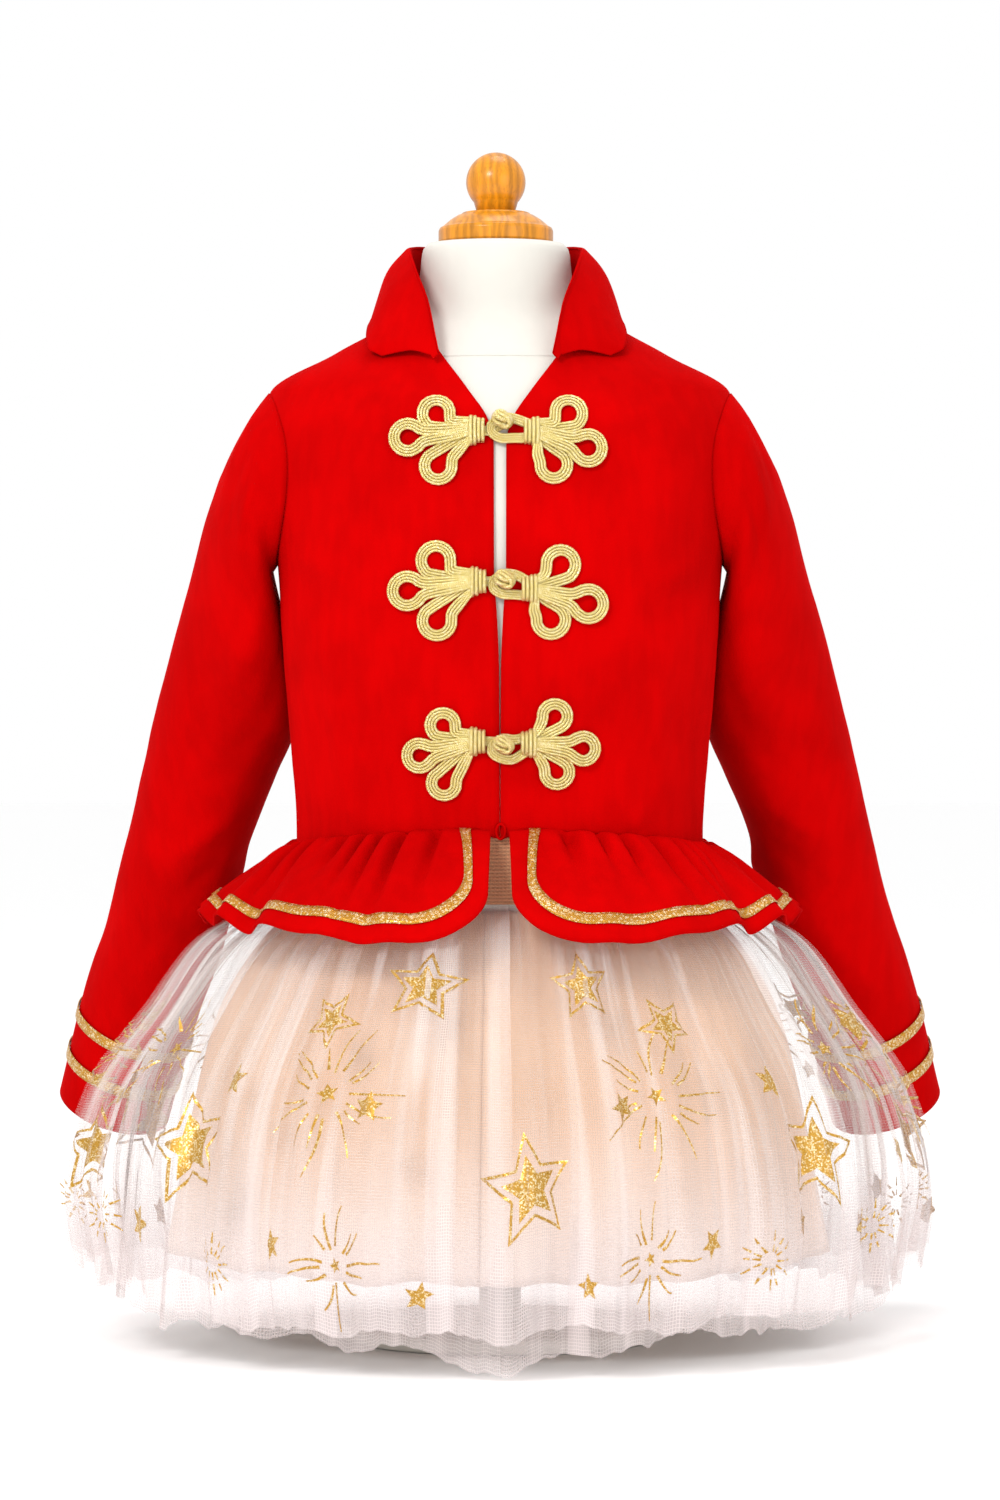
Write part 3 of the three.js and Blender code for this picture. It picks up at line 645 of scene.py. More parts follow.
def elastic_material(colours):
    material, tree, shader, place = new_material("elastic", {"Roughness": 0.75, "Sheen Weight": 0.3})
    ribs = use(tree, rib_group(), Place=place.outputs["UV"], Along=3000.0, Across=4200.0)
    tone = mixed(tree, ribs["Along"], linear(colours.elastic, 0.75), linear(colours.elastic, 1.08))
    tree.links.new(tone, shader.inputs["Base Color"])
    bump(tree, shader, maths(tree, "ADD", ribs["Along"], ribs["Crossed"]), 0.5, 0.0006)
    return material


def jersey_material(colours):
    material, tree, shader, place = new_material("jersey", {"Roughness": 0.85, "Sheen Weight": 0.2})
    ribs = use(tree, rib_group(), Place=place.outputs["UV"], Along=5200.0, Across=6400.0)
    nap = use(tree, nap_group(), Place=place.outputs["Object"])
    base = mixed(tree, nap["Lean"], linear(colours.jersey, 0.95), linear(colours.jersey, 1.03))
    tone = mixed(tree, ribs["Crossed"], base, linear(colours.jersey, 0.93))
    tree.links.new(tone, shader.inputs["Base Color"])
    bump(tree, shader, ribs["Crossed"], 0.3, 0.0003)
    return material


def wood_material(colours):
    material, tree, shader, place = new_material("turned wood", {
        "Roughness": 0.38, "Specular IOR Level": 0.25, "Coat Weight": 0.3, "Coat Roughness": 0.16,
    })
    grain = use(tree, grain_group(), Place=place.outputs["Object"])
    tone = mixed(tree, grain["Tone"], linear(colours.wood, 0.62), linear(colours.wood, 1.25))
    tone = mixed(tree, maths(tree, "MULTIPLY", grain["Pores"], 0.35), tone, linear(colours.wood, 0.4))
    tree.links.new(tone, shader.inputs["Base Color"])
    bump(tree, shader, grain["Tone"], 0.12, 0.0004)
    return material


def paint_material(colours):
    material, tree, shader, place = new_material("cream paint", {"Roughness": 0.35})
    brushed = node(tree, "ShaderNodeTexNoise", {
        "Vector": place.outputs["Object"], "Scale": 60.0, "Detail": 4.0,
    })
    tone = mixed(tree, brushed.outputs[0], linear(colours.paint, 0.93), linear(colours.paint, 1.03))
    tree.links.new(tone, shader.inputs["Base Color"])
    bump(tree, shader, brushed.outputs[0], 0.08, 0.0006)
    return material


def braid_material(colours):
    return metal_thread_material(
        "braid thread", colours.braid, colours.braid_shadow, flakes=1500.0, along=5200.0, across=2800.0
    )


def ribbon_material(colours):
    return metal_thread_material(
        "ribbon thread", colours.ribbon, colours.ribbon_shadow, flakes=1100.0, along=5000.0, across=5000.0,
        roughness=0.36,
    )


def foil_material(colours):
    return metal_thread_material(
        "foil flakes", colours.foil, colours.ribbon_shadow, flakes=1300.0, along=900.0, across=900.0,
        roughness=0.4, metallic=0.7,
    )


# How the jacket lies: creases by x and z for the front and the back, in millimetres

FRONT_CREASES = [
    (-118, 452, -84, 424, 9, -1.3), (-122, 470, -92, 452, 7, 1.6), (-112, 420, -104, 330, 9, -1.2),
    (-96, 400, -92, 322, 8, 1.5), (-70, 376, -58, 318, 10, -1.1), (-56, 398, -84, 360, 9, 1.3),
    (-34, 406, -44, 330, 8, 1.2), (-24, 336, -18, 316, 6, 1.4), (-60, 500, -98, 470, 12, 1.1),
    (-22, 562, -56, 578, 7, -1.2), (-30, 552, -66, 560, 8, 1.5), (-88, 318, -80, 304, 5, 1.6),
    (116, 450, 82, 420, 9, -1.3), (121, 468, 94, 448, 7, 1.7), (110, 416, 106, 328, 9, -1.2),
    (94, 396, 95, 320, 8, 1.6), (66, 384, 56, 322, 10, -1.2), (58, 404, 88, 356, 9, 1.4),
    (32, 410, 40, 338, 8, 1.2), (22, 332, 18, 314, 6, 1.4), (64, 498, 100, 474, 12, 1.2),
    (24, 562, 60, 580, 7, -1.2), (32, 550, 70, 562, 8, 1.5), (84, 320, 78, 304, 5, 1.6),
]
BACK_CREASES = [
    (-112, 470, -70, 430, 9, 2.2), (-116, 446, -84, 400, 9, -1.2), (110, 468, 72, 424, 9, 2.3),
    (114, 442, 86, 404, 9, -1.2), (-60, 560, -96, 520, 10, 1.8), (62, 558, 92, 516, 10, 1.8),
    (-30, 590, 30, 590, 8, 1.6), (-52, 350, -40, 318, 7, 1.8), (50, 352, 42, 320, 7, 1.8),
    (-8, 372, 4, 320, 8, 1.6), (-86, 380, -90, 322, 8, -1.2), (88, 376, 92, 322, 8, -1.2),
    (-14, 520, -8, 420, 14, -1.2), (20, 500, 24, 400, 14, 1.2),
]
LEAST_RELIEF = -1.3
FRONT_CORNER, FRONT_CORNER_DEGREES = 6, 3
ARMHOLE_ROWS = (0.5, 0.82)
OPENING_SINK, OPENING_REACH = 0.9, 5
OPENING_TOP = (560, 530)
NECK_EDGE = (603, 588)


def relief(angle, z):
    """How far the velvet lies off its plain cut: nothing along its seams, uneven between them."""
    point = body_skin(angle, z)
    front = smooth(math.cos(angle), -0.12, 0.16)
    lift = 0.9 * cloud(point.x, point.y, z, 62, 3.1) + 0.35 * cloud(point.x, point.y, z, 21, 7.7)
    lift += front * crease_depth(FRONT_CREASES, point.x, z)
    lift += (1 - front) * crease_depth(BACK_CREASES, point.x, z)
    lift -= OPENING_SINK * front * math.exp(-((point.x / OPENING_REACH) ** 2)) * smooth(z, *OPENING_TOP)
    depth = abs(point.y - BODY["middle_y"](z))
    rise = abs(z - ARMHOLE_MIDDLE) / ARMHOLE_HALF_HEIGHT
    from_armhole = math.hypot(max(depth / ARMHOLE_HALF_DEPTH, 0.0), rise) - 1
    held = smooth(z, seam_height(angle), seam_height(angle) + 9) * smooth(from_armhole, 0.02, 0.3)
    return max(lift * held * smooth(z, *NECK_EDGE), LEAST_RELIEF)


def jacket_skin(angle, z, out=0.0):
    return body_point(angle, z, relief(angle, z) + out)


def chest_point(x, z, out):
    return jacket_skin(angle_at_width(x, z), z, out)


def panel_height(angle, v):
    """A panel's rows crowd at both ends of the armhole. The front corners reach a little below the seam."""
    low, high = ARMHOLE_ROWS
    if v < low:
        corner = FRONT_CORNER * math.exp(-((math.degrees(angle) / FRONT_CORNER_DEGREES) ** 2))
        return lerp(seam_height(angle) - corner, ARMHOLE_LOW, v / low)
    if v < high:
        return ARMHOLE_MIDDLE - ARMHOLE_HALF_HEIGHT * math.cos(math.pi * (v - low) / (high - low))
    return lerp(ARMHOLE_HIGH, SHOULDER_TOP, (v - high) / (1 - high))


def front_place(side):
    def place(u, v):
        share = u if side > 0 else 1 - u
        z = panel_height(lerp(0.1, 1.2, share) * side, v)
        start = angle_at_width(FRONT_OPENING["half_width"](z), z)
        angle = side * lerp(start, angle_at_depth(armhole_depth(z), z), share)
        return jacket_skin(angle, panel_height(angle, v))

    return place


def back_place(u, v):
    z = panel_height(math.pi, v)
    half = math.pi - angle_at_depth(armhole_depth(z), z)
    angle = math.pi + lerp(-half, half, u)
    return jacket_skin(angle, panel_height(angle, v))


# Sleeves: creases by the turn round the arm, in degrees from the outside, and the run down it

SLEEVE_CREASES = {
    1: [
        (30, 8, 42, 52, 6, -1.6), (58, 8, 62, 46, 7, 1.8), (84, 8, 80, 58, 7, -1.5), (8, 6, 6, 34, 5, -1.6),
        (-26, 8, -24, 40, 6, 1.5), (112, 60, 70, 128, 12, 2.2), (140, 84, 96, 176, 11, -2.0),
        (60, 150, 30, 214, 13, 1.6), (118, 196, 72, 232, 9, 2.2), (126, 226, 84, 262, 9, -2.0),
        (100, 286, 70, 348, 11, 1.4), (-60, 120, -86, 210, 12, 2.0), (-110, 60, -130, 150, 12, -2.0),
        (-96, 240, -120, 330, 12, 1.8), (20, 300, 10, 366, 12, -1.0), (160, 236, 190, 262, 10, 2.4),
    ],
    -1: [
        (24, 8, 36, 48, 6, 1.7), (50, 8, 56, 50, 7, -1.6), (78, 8, 78, 52, 7, 1.6), (2, 6, 4, 38, 5, -1.5),
        (-30, 8, -30, 42, 6, 1.6), (116, 66, 76, 138, 12, 2.1), (138, 96, 98, 182, 11, -2.0),
        (56, 142, 34, 226, 13, 1.5), (122, 206, 76, 244, 9, 2.3), (124, 238, 86, 270, 9, -2.0),
        (98, 292, 66, 340, 11, 1.3), (-64, 130, -90, 206, 12, 2.0), (-106, 70, -126, 156, 12, -2.0),
        (-100, 250, -116, 322, 12, 1.8), (26, 290, 14, 356, 12, -1.0), (164, 242, 192, 266, 10, 2.4),
    ],
}
ARMHOLE_OUT = 0.7
HEAD_RUN = 24


def armhole_point(turn):
    """A place on the armhole's seam, turned as the sleeve's sections are."""
    z = ARMHOLE_MIDDLE + ARMHOLE_HALF_HEIGHT * math.cos(turn)
    side = angle_at_depth(ARMHOLE_HALF_DEPTH * abs(math.sin(turn)), z)
    return body_point(side if math.sin(turn) >= 0 else math.pi - side, z, ARMHOLE_OUT)


def sleeve_ring(run, turn):
    """A place on the sleeve's plain section, which leans with the arm, and the section's middle."""
    ring = {name: curve(max(run, SLEEVE_START)) for name, curve in SLEEVE.items()}
    forward = ring["half_depth"] * math.sin(turn)
    tilt = math.radians(ring["tilt"])
    middle = Vector((
        (ring["outer_x"] + ring["inner_x"]) / 2, ring["middle_y"], (ring["outer_z"] + ring["inner_z"]) / 2,
    ))
    point = middle + Vector((
        (ring["outer_x"] - ring["inner_x"]) / 2 * math.cos(turn),
        -forward * math.cos(tilt),
        (ring["outer_z"] - ring["inner_z"]) / 2 * math.cos(turn) - forward * math.sin(tilt),
    ))
    return point, middle


def sleeve_skin(side, turn, run, out):
    """The sleeve with its creases. Next to the jacket, near the armpit, none of them swells outward."""
    point, middle = sleeve_ring(run, turn)
    outward = (point - middle).normalized()
    degrees = (math.degrees(turn) + 180) % 360 - 180
    creases = SLEEVE_CREASES[side]
    lift = crease_depth(creases, degrees, run)
    lift += crease_depth(creases, degrees + 360, run) if degrees < -100 else 0.0
    lift += 1.5 * cloud(point.x, point.y, point.z, 58, 1.3 + side)
    lift += 0.4 * cloud(point.x, point.y, point.z, 20, 4.0)
    lift *= smooth(run, 4, 16) * lerp(0.25, 1, smooth(run, 416, 360))
    inner = smooth(-math.cos(turn), 0.55, 0.95) * smooth(run, 170, 60)
    lift = lerp(lift, min(lift, 0.0), inner)
    if run < HEAD_RUN:
        ease = 1 - (1 - run / HEAD_RUN) ** 2
        point = armhole_point(turn).lerp(point, ease)
    point = point + outward * (lift + out)
    return Vector((point.x * side, point.y, point.z))


def sleeve_place(side, first=0.0, last=SLEEVE_END, out=0.0):
    """The whole sleeve, or the strip between two runs down it."""

    def place(u, v):
        turn = 2 * math.pi * (u if side > 0 else 1 - u)
        return sleeve_skin(side, turn, lerp(first, last, v), out)

    return place


# The collar's section from its edge over the fold to its foot


def catmull(points, t):
    """A place on a smooth line through points, at t between 0 and 1."""
    last = len(points) - 1
    at = clamp(t) * last
    i = min(int(at), last - 1)
    t = at - i
    a, b, c, d = points[max(i - 1, 0)], points[i], points[i + 1], points[min(i + 2, last)]
    return (b * 2 + (c - a) * t + (a * 2 - b * 5 + c * 4 - d) * t * t + (b * 3 - a - c * 3 + d) * t**3) / 2


def collar_column(share, side):
    """The collar's section at a share of the way from its front corner to the centre back."""
    line = {name: curve(share) for name, curve in COLLAR.items()}
    fold = Vector((line["fold_x"], line["fold_y"], line["fold_z"]))
    edge = Vector((line["edge_x"], line["edge_y"], line["edge_z"]))
    outward = Vector((edge.x - fold.x, edge.y - fold.y, 0)).normalized()
    up = Vector((0, 0, 1))
    foot = fold + outward * 2.5 - up * line["stand"]
    inner = fold - outward * 0.6 - up * 3.5 * min(1, line["stand"] / 12)
    outer = fold + outward * 4.2 - up * 1.5
    shoulder = outer.lerp(edge, 0.4) + outward * 4 * min(1, line["stand"] / 20) + up * 3
    return [Vector((p.x * side + NECK_SHIFT, p.y, p.z)) for p in (edge, shoulder, outer, fold, inner, foot)]


def collar_place(u, v):
    side = 1 if u <= 0.5 else -1
    share = min(2 * u, 2 - 2 * u)
    point = catmull(collar_column(share, side), v)
    fall = smooth(v, 0.45, 0.2)
    wave = 1.3 * cloud(point.x, point.y, point.z, 34, 2.2) * fall
    return point + Vector((side * wave, -0.6 * wave, 0.4 * wave))


# The peplum, with lengths along the waist seam from its front edge and drops below the seam

PEPLUM_DROP, PEPLUM_CORNER = 66, 24
RIBBON_INSET, RIBBON_WIDTH = 8.5, 5.5
PEPLUM_TUCK = 2.0
WAIST_LENGTH, FRONT_GAP = 680, 3
CORNER_SHARE = 8 / 47
HEM_COLUMNS = 39
HALF_WAIST = WAIST_LENGTH / 2 - FRONT_GAP
CORNER_RUN = PEPLUM_DROP - PEPLUM_CORNER + PEPLUM_CORNER * math.pi / 2
FIRST_LENGTH = 4
FRONT_FOOT = RIBBON_INSET + RIBBON_WIDTH + 8
CORNER_FOOT = FRONT_FOOT + 16
PEPLUM_FLARE = {"front": 66, "side": 58, "back": 58}
PEPLUM_FALL = {"front": 66, "side": 41, "back": 57}
FRONT_WAVE, SIDE_WAVE = 1.8, 8.5
GATHER_PITCH, GATHER_CREST, GATHER_DEPTH = 15.5, 3.6, 12
BROAD_FOLD = ((80, 16, 4.5), (103, 12, -8.0))
WAIST_LOOP = (0.4, 304.5, 2.6, 4.4)


def fold_turn(column, columns, lean):
    """The angle of one column of a gathered layer. The columns crowd here and there, so folds differ."""
    turn = 2 * math.pi * column / columns
    nudge = 0.35 / columns * 2 * math.pi
    return turn + nudge * (math.sin(5 * turn + lean) + 0.8 * math.sin(9 * turn + 2.3 * lean))


def fold_height(column, turn, lean):
    """A fold's height as a share of the deepest: four columns make one fold."""
    size = 0.78 + 0.22 * math.sin(7 * turn + 1.7 * lean) * math.cos(4 * turn + lean)
    return size * math.cos(column * math.pi / 2)


def along_angle(along):
    """The angle round the body at a length along the waist seam."""
    return math.pi * (along + FRONT_GAP) / (WAIST_LENGTH / 2)


def round_waist(sizes, frontness, sideness):
    return lerp(lerp(sizes["back"], sizes["front"], frontness), sizes["side"], sideness)


def peplum_skin(angle, drop, wave):
    """A place on the ruffle before its gathers, with the direction that it flares in."""
    t = drop / PEPLUM_DROP
    frontness = 0.5 + 0.5 * math.cos(angle)
    sideness = math.sin(angle) ** 2
    start = body_skin(angle, seam_height(angle) + PEPLUM_TUCK)
    outward = Vector((start.x, start.y * 1.35, 0)).normalized()
    start -= outward * 1.5 * (1 - smooth(drop, 0, 5))
    flare = round_waist(PEPLUM_FLARE, frontness, sideness)
    fall = round_waist(PEPLUM_FALL, frontness, sideness)
    lift = wave * lerp(FRONT_WAVE, SIDE_WAVE, smooth(1 - frontness, 0.14, 0.45)) * t**1.3
    point = start + outward * (flare * t**0.9 + 0.5 * lift)
    point.z += 0.85 * lift - fall * t**1.2
    return point, outward


def peplum_edge(length):
    """A place on the free edge, along the waist and down: it runs down the front, round a corner and back."""
    straight = PEPLUM_DROP - PEPLUM_CORNER
    if length < straight:
        return 0.0, length
    if length < CORNER_RUN:
        turn = (length - straight) / PEPLUM_CORNER
        return PEPLUM_CORNER * (1 - math.cos(turn)), straight + PEPLUM_CORNER * math.sin(turn)
    return min(PEPLUM_CORNER + length - CORNER_RUN, HALF_WAIST), PEPLUM_DROP


def peplum_thread(s):
    """One thread of the ruffle: its shares of the corner and of the hem, its start on the seam, its end."""
    corner = min(s / CORNER_SHARE, 1)
    hem = max(s - CORNER_SHARE, 0) / (1 - CORNER_SHARE)
    if hem > 0:
        length, start = CORNER_RUN + (HALF_WAIST - PEPLUM_CORNER) * hem, lerp(CORNER_FOOT, HALF_WAIST, hem)
    else:
        length, start = lerp(FIRST_LENGTH, CORNER_RUN, corner), lerp(FRONT_FOOT, CORNER_FOOT, corner)
    return corner, hem, start, peplum_edge(length)


def gather_pucker(along, drop, side):
    """Gathers that start in the waist seam, narrow troughs among small ripples, and run out below it."""
    beat = along / GATHER_PITCH + 0.3 * math.sin(along / 21 + 2 * side) + 0.2 * math.sin(along / 8.3 + side)
    trough = (0.5 - 0.5 * math.cos(2 * math.pi * beat)) ** 4
    reach = 27 + 10 * math.sin(along / 13 + 1.7 * side)
    ripple = 0.8 * math.cos(along / 1.9 + 1.3 * math.sin(along / 23 + side))
    fade = smooth(along, 13, 24) * math.exp(-((drop / reach) ** 2))
    return (GATHER_CREST + ripple - GATHER_DEPTH * trough) * smooth(drop, 0, 6) * fade


def broad_fold(along, drop):
    """One broad soft fold on each side of the front, with a hollow beside it."""
    lift = sum(height * math.exp(-(((along - middle) / width) ** 2)) for middle, width, height in BROAD_FOLD)
    return lift * smooth(drop, 14, PEPLUM_DROP)


def peplum_half(s, v, side, out):
    """s runs from the front edge round to the centre back, v from the free edge up to the seam.

    A flute is one wave of the hem.
    """
    corner, hem, start, (edge_along, edge_drop) = peplum_thread(s)
    column = hem * HEM_COLUMNS
    flute = fold_height(column, along_angle(edge_along), 0.6)
    along, drop = lerp(start, edge_along, 1 - v), lerp(0, edge_drop, 1 - v)
    wave = lerp(0.5 * corner, flute, smooth(column, 0, 1.6)) + 0.9 * math.exp(-along / 12)
    point, outward = peplum_skin(along_angle(along), drop, wave)
    pucker = gather_pucker(along, drop, side) + broad_fold(along, drop)
    pucker += 0.9 * cloud(point.x, point.y, point.z, 26, side) * smooth(drop, 0, 12)
    point += (outward * 0.75 + Vector((0, 0, 0.65))) * (pucker + out)
    return Vector((point.x * side, point.y, point.z))


def peplum_reach(s):
    """The length of cloth from the seam to the free edge."""
    _, _, start, (edge_along, edge_drop) = peplum_thread(s)
    return math.hypot(edge_along - start, edge_drop)


def peplum_place(inset_low=None, inset_high=None, out=0.0):
    """The whole ruffle, or the strip between two distances from its free edge, measured on each thread."""

    def place(u, v):
        side = 1 if u <= 0.5 else -1
        s = min(2 * u, 2 - 2 * u)
        if inset_low is not None:
            v = lerp(inset_low, inset_high, v) / peplum_reach(s)
        return peplum_half(s, v, side, out)

    return place


# Skirt layers from the waistband's lower edge to the hem

SKIRT = {
    "skirt_star_tulle": {
        "folds": 28, "depth": 9, "dip": 27, "point": (0, 1), "lean": 0.7,
        "rows": [
            (0, 120.6, 261.2, 0.712), (0.11, 150, 255, 0.76), (0.227, 178, 240, 0.8), (0.41, 208, 200, 0.84),
            (0.64, 243, 148, 0.88), (0.845, 256, 94, 0.9), (1, 250, 52, 0.9),
        ],
    },
    "skirt_under_tulle": {
        "folds": 20, "depth": 7, "dip": 13, "point": (13, 55), "lean": 2.1,
        "rows": [
            (0, 120.3, 259.7, 0.71), (0.1, 148, 248, 0.74), (0.3, 182, 214, 0.79), (0.65, 222, 136, 0.86),
            (1, 232, 31, 0.88),
        ],
    },
    "skirt_lining": {
        "folds": 14, "depth": 4, "dip": 8, "point": (0, 1), "lean": 4.4,
        "rows": [(0, 120, 258.2, 0.708), (0.14, 140, 241, 0.74), (0.45, 169, 192, 0.8), (1, 198, 56, 0.86)],
    },
}
for layer in SKIRT.values():
    layer["profile"] = curves(("share", "half_width", "z", "depth_ratio"), layer["rows"])
LOWEST_HEM = 1.5
LINING_FINE = 0.3
WAISTBAND_LOW, WAISTBAND_HIGH = 262, 309
WAISTBAND_INSET = -2.6


def waistband_place(u, v):
    angle = 2 * math.pi * u
    pleat = 0.2 * math.sin(angle * 190 + 2 * math.sin(angle * 9))
    return body_point(angle, lerp(WAISTBAND_LOW, WAISTBAND_HIGH, v), WAISTBAND_INSET + pleat)


def layer_skin(layer, u, share, fine=1.0):
    """A place on a skirt layer: u runs round from the centre front, share from the waist to the hem.

    The layer's dip is how much lower its hem lies in front and behind than at the sides, and its point is the
    depth and half the width of the hem's tip at the centre front.
    """
    profile = layer["profile"]
    columns = layer["folds"] * 4
    column = u * columns
    turn = fold_turn(column, columns, layer["lean"])
    half_width = profile["half_width"](share)
    fold = fold_height(column, turn, layer["lean"]) * layer["depth"] * share**0.8
    pleat = math.cos(column * math.pi * 1.37 + 2.1 * math.sin(turn * 11 + layer["lean"]))
    pleat += 0.7 * math.cos(column * math.pi * 2.9 + 1.7 * math.sin(turn * 17 + 2 * layer["lean"]))
    start = smooth(share, 0, 0.1)
    crumple = cloud(20 * math.sin(turn), 20 * math.cos(turn), 3 * share, 2.3, 5.0)
    fold += fine * start * (1.3 * pleat + 1.8 * crumple)
    frontness = abs(math.cos(turn)) ** 1.2
    across = half_width * math.sin(turn) / layer["point"][1]
    point = layer["point"][0] * math.exp(-across * across) if math.cos(turn) > 0 else 0.0
    spread = min(1, share * 3)
    height = profile["z"](share) - (layer["dip"] * frontness + point) * share**3
    uneven = cloud(30 * math.sin(turn), 30 * math.cos(turn), layer["lean"], 3.1, 9.0)
    uneven += 0.3 * cloud(30 * math.sin(turn), 30 * math.cos(turn), layer["lean"], 0.9, 2.0)
    height = max(height + fine * share**6 * (9 * uneven + 0.6 * pleat), LOWEST_HEM)
    return oval(
        turn, height, half_width + fold, half_width * profile["depth_ratio"](share) + fold, 0,
        lerp(-2, 0, spread), lerp(2.2, 2, spread),
    )


def layer_place(layer, fine=1.0):
    """The whole layer, hem first. fine is how much of the small pleats and of the ragged hem it has."""

    def place(u, v):
        return layer_skin(layer, u, 1 - v, fine)

    return place


def on_tulle(layer, u, share, out):
    """A place just off the tulle's face, for what is printed on it."""
    here = layer_skin(layer, u, share)
    across = layer_skin(layer, u + 0.0008, share) - here
    along = layer_skin(layer, u, share - 0.006) - here
    return here + across.cross(along).normalized() * out


# Printed stars and bursts: place round the skirt, share of the drop, radius, and turn or number of rays

TULLE_DROP = 236
STAR_CELL, RAY_CELL = 3.5, 6
PRINT_OUT = 0.35
OUTLINE_WIDTH, BURST_RAY, SPARKLER_RAY = 1.3, 1.3, 1.1
BIG_STARS = [
    (0.006, 0.75, 20, 8), (0.074, 0.42, 13, 30), (0.131, 0.71, 22, -12), (0.205, 0.45, 15, 20),
    (0.268, 0.74, 20, 4), (0.336, 0.44, 14, -18), (0.402, 0.72, 21, 14), (0.468, 0.46, 14, 33),
    (0.533, 0.73, 20, -6), (0.601, 0.43, 15, 12), (0.664, 0.72, 22, 24), (0.733, 0.45, 14, -10),
    (0.797, 0.74, 20, 9), (0.871, 0.70, 22, 16), (0.93, 0.41, 13, -26), (0.036, 0.33, 16, 5),
    (0.967, 0.33, 16, -8),
]
BURSTS = [
    (0.062, 0.58, 40, 17), (0.938, 0.575, 40, 17), (0.166, 0.5, 34, 15), (0.836, 0.5, 34, 15),
    (0.236, 0.66, 36, 16), (0.303, 0.55, 38, 17), (0.371, 0.5, 34, 15), (0.436, 0.62, 38, 17),
    (0.5, 0.52, 36, 16), (0.566, 0.6, 38, 17), (0.631, 0.52, 34, 15), (0.7, 0.62, 38, 17),
    (0.766, 0.52, 36, 16), (0.055, 0.88, 25, 13), (0.945, 0.885, 25, 13),
]
SPARKLERS = [(0.1 + 0.066 * i, 0.9 - 0.02 * (i % 3), 13, 12) for i in range(13)]
SMALL_STARS = [
    (0.028, 0.93, 6, 10), (0.972, 0.935, 6, -14), (0.046, 0.6, 8, 22), (0.954, 0.6, 8, -5),
    (0.076, 0.86, 7, 31), (0.922, 0.86, 7, 12), (0.112, 0.56, 9, -16), (0.888, 0.555, 9, 8),
    (0.118, 0.84, 7, 4), (0.15, 0.86, 9, 18), (0.85, 0.86, 9, -20), (0.19, 0.74, 7, 26), (0.81, 0.62, 7, 3),
] + [(0.222 + 0.0335 * i, 0.56 + 0.31 * (i % 2) + 0.05 * (i % 3), 6 + 2 * (i % 2), 17 * i) for i in range(17)]


# Flat prints, drawn in millimetres and then laid on the tulle


def draw_star(bm, radius, turn, outline=0.0):
    """A five-pointed star, or its outline where a width is given for it."""
    verts = bmesh.ops.create_circle(bm, cap_ends=True, segments=10, radius=radius)["verts"]
    for vert in verts:
        step = round((math.degrees(math.atan2(vert.co.y, vert.co.x)) - 90) / 36)
        if step % 2:
            vert.co *= 0.47
    bmesh.ops.rotate(bm, verts=verts, matrix=Matrix.Rotation(math.radians(turn), 3, "Z"))
    if outline:
        faces = list({face for vert in verts for face in vert.link_faces})
        bmesh.ops.inset_region(bm, faces=faces, thickness=outline, use_even_offset=True, use_boundary=True)
        bmesh.ops.delete(bm, geom=faces, context="FACES_ONLY")


def draw_ray(bm, start, end, width, angle, curl):
    """One ray of a burst: a thin strip that bends a little and thins to its end."""
    made = bmesh.ops.create_grid(bm, x_segments=8, y_segments=1, size=0.5)
    for vert in made["verts"]:
        t = vert.co.x + 0.5
        reach = lerp(start, end, t)
        bent = angle + curl * t * t
        half = vert.co.y * width * (1 - 0.5 * t)
        vert.co = Vector((
            reach * math.cos(bent) - half * math.sin(bent), reach * math.sin(bent) + half * math.cos(bent), 0,
        ))


def lay_print(bm, layer, u, share, cell):
    """Cuts a flat print into cells small enough to follow the folds, and lays it on the tulle."""
    reach = max(max(abs(vert.co.x), abs(vert.co.y)) for vert in bm.verts)
    for axis in (Vector((1, 0, 0)), Vector((0, 1, 0))):
        at = -math.floor(reach / cell) * cell
        while at < reach:
            whole = bm.verts[:] + bm.edges[:] + bm.faces[:]
            bmesh.ops.bisect_plane(bm, geom=whole, plane_co=axis * at, plane_no=axis)
            at += cell
    width = 2 * math.pi * layer["profile"]["half_width"](share) * 0.95
    for vert in bm.verts:
        drop = clamp(share - vert.co.y / TULLE_DROP, 0.02, 0.995)
        vert.co = on_tulle(layer, u + vert.co.x / width, drop, PRINT_OUT) * MM


def burst_rays(radius, count):
    rays = []
    for i in range(count):
        angle = 2 * math.pi * (i + 0.3 * math.sin(i * 2.3)) / count
        low, high = radius * (0.26 + 0.05 * (i % 2)), radius * (0.8 + 0.2 * math.cos(i * 1.9))
        rays.append((low, high, BURST_RAY, angle, 0.16 * math.sin(i * 1.3)))
    return rays


def sparkler_rays(radius, count):
    rays = []
    for i in range(count):
        angle = 2 * math.pi * (i + 0.2 * math.sin(i * 1.7)) / count
        rays.append((radius * 0.28, radius * 0.52, SPARKLER_RAY, angle, 0.0))
        rays.append((radius * 0.64, radius * (0.86 + 0.14 * (i % 2)), SPARKLER_RAY, angle, 0.0))
    return rays


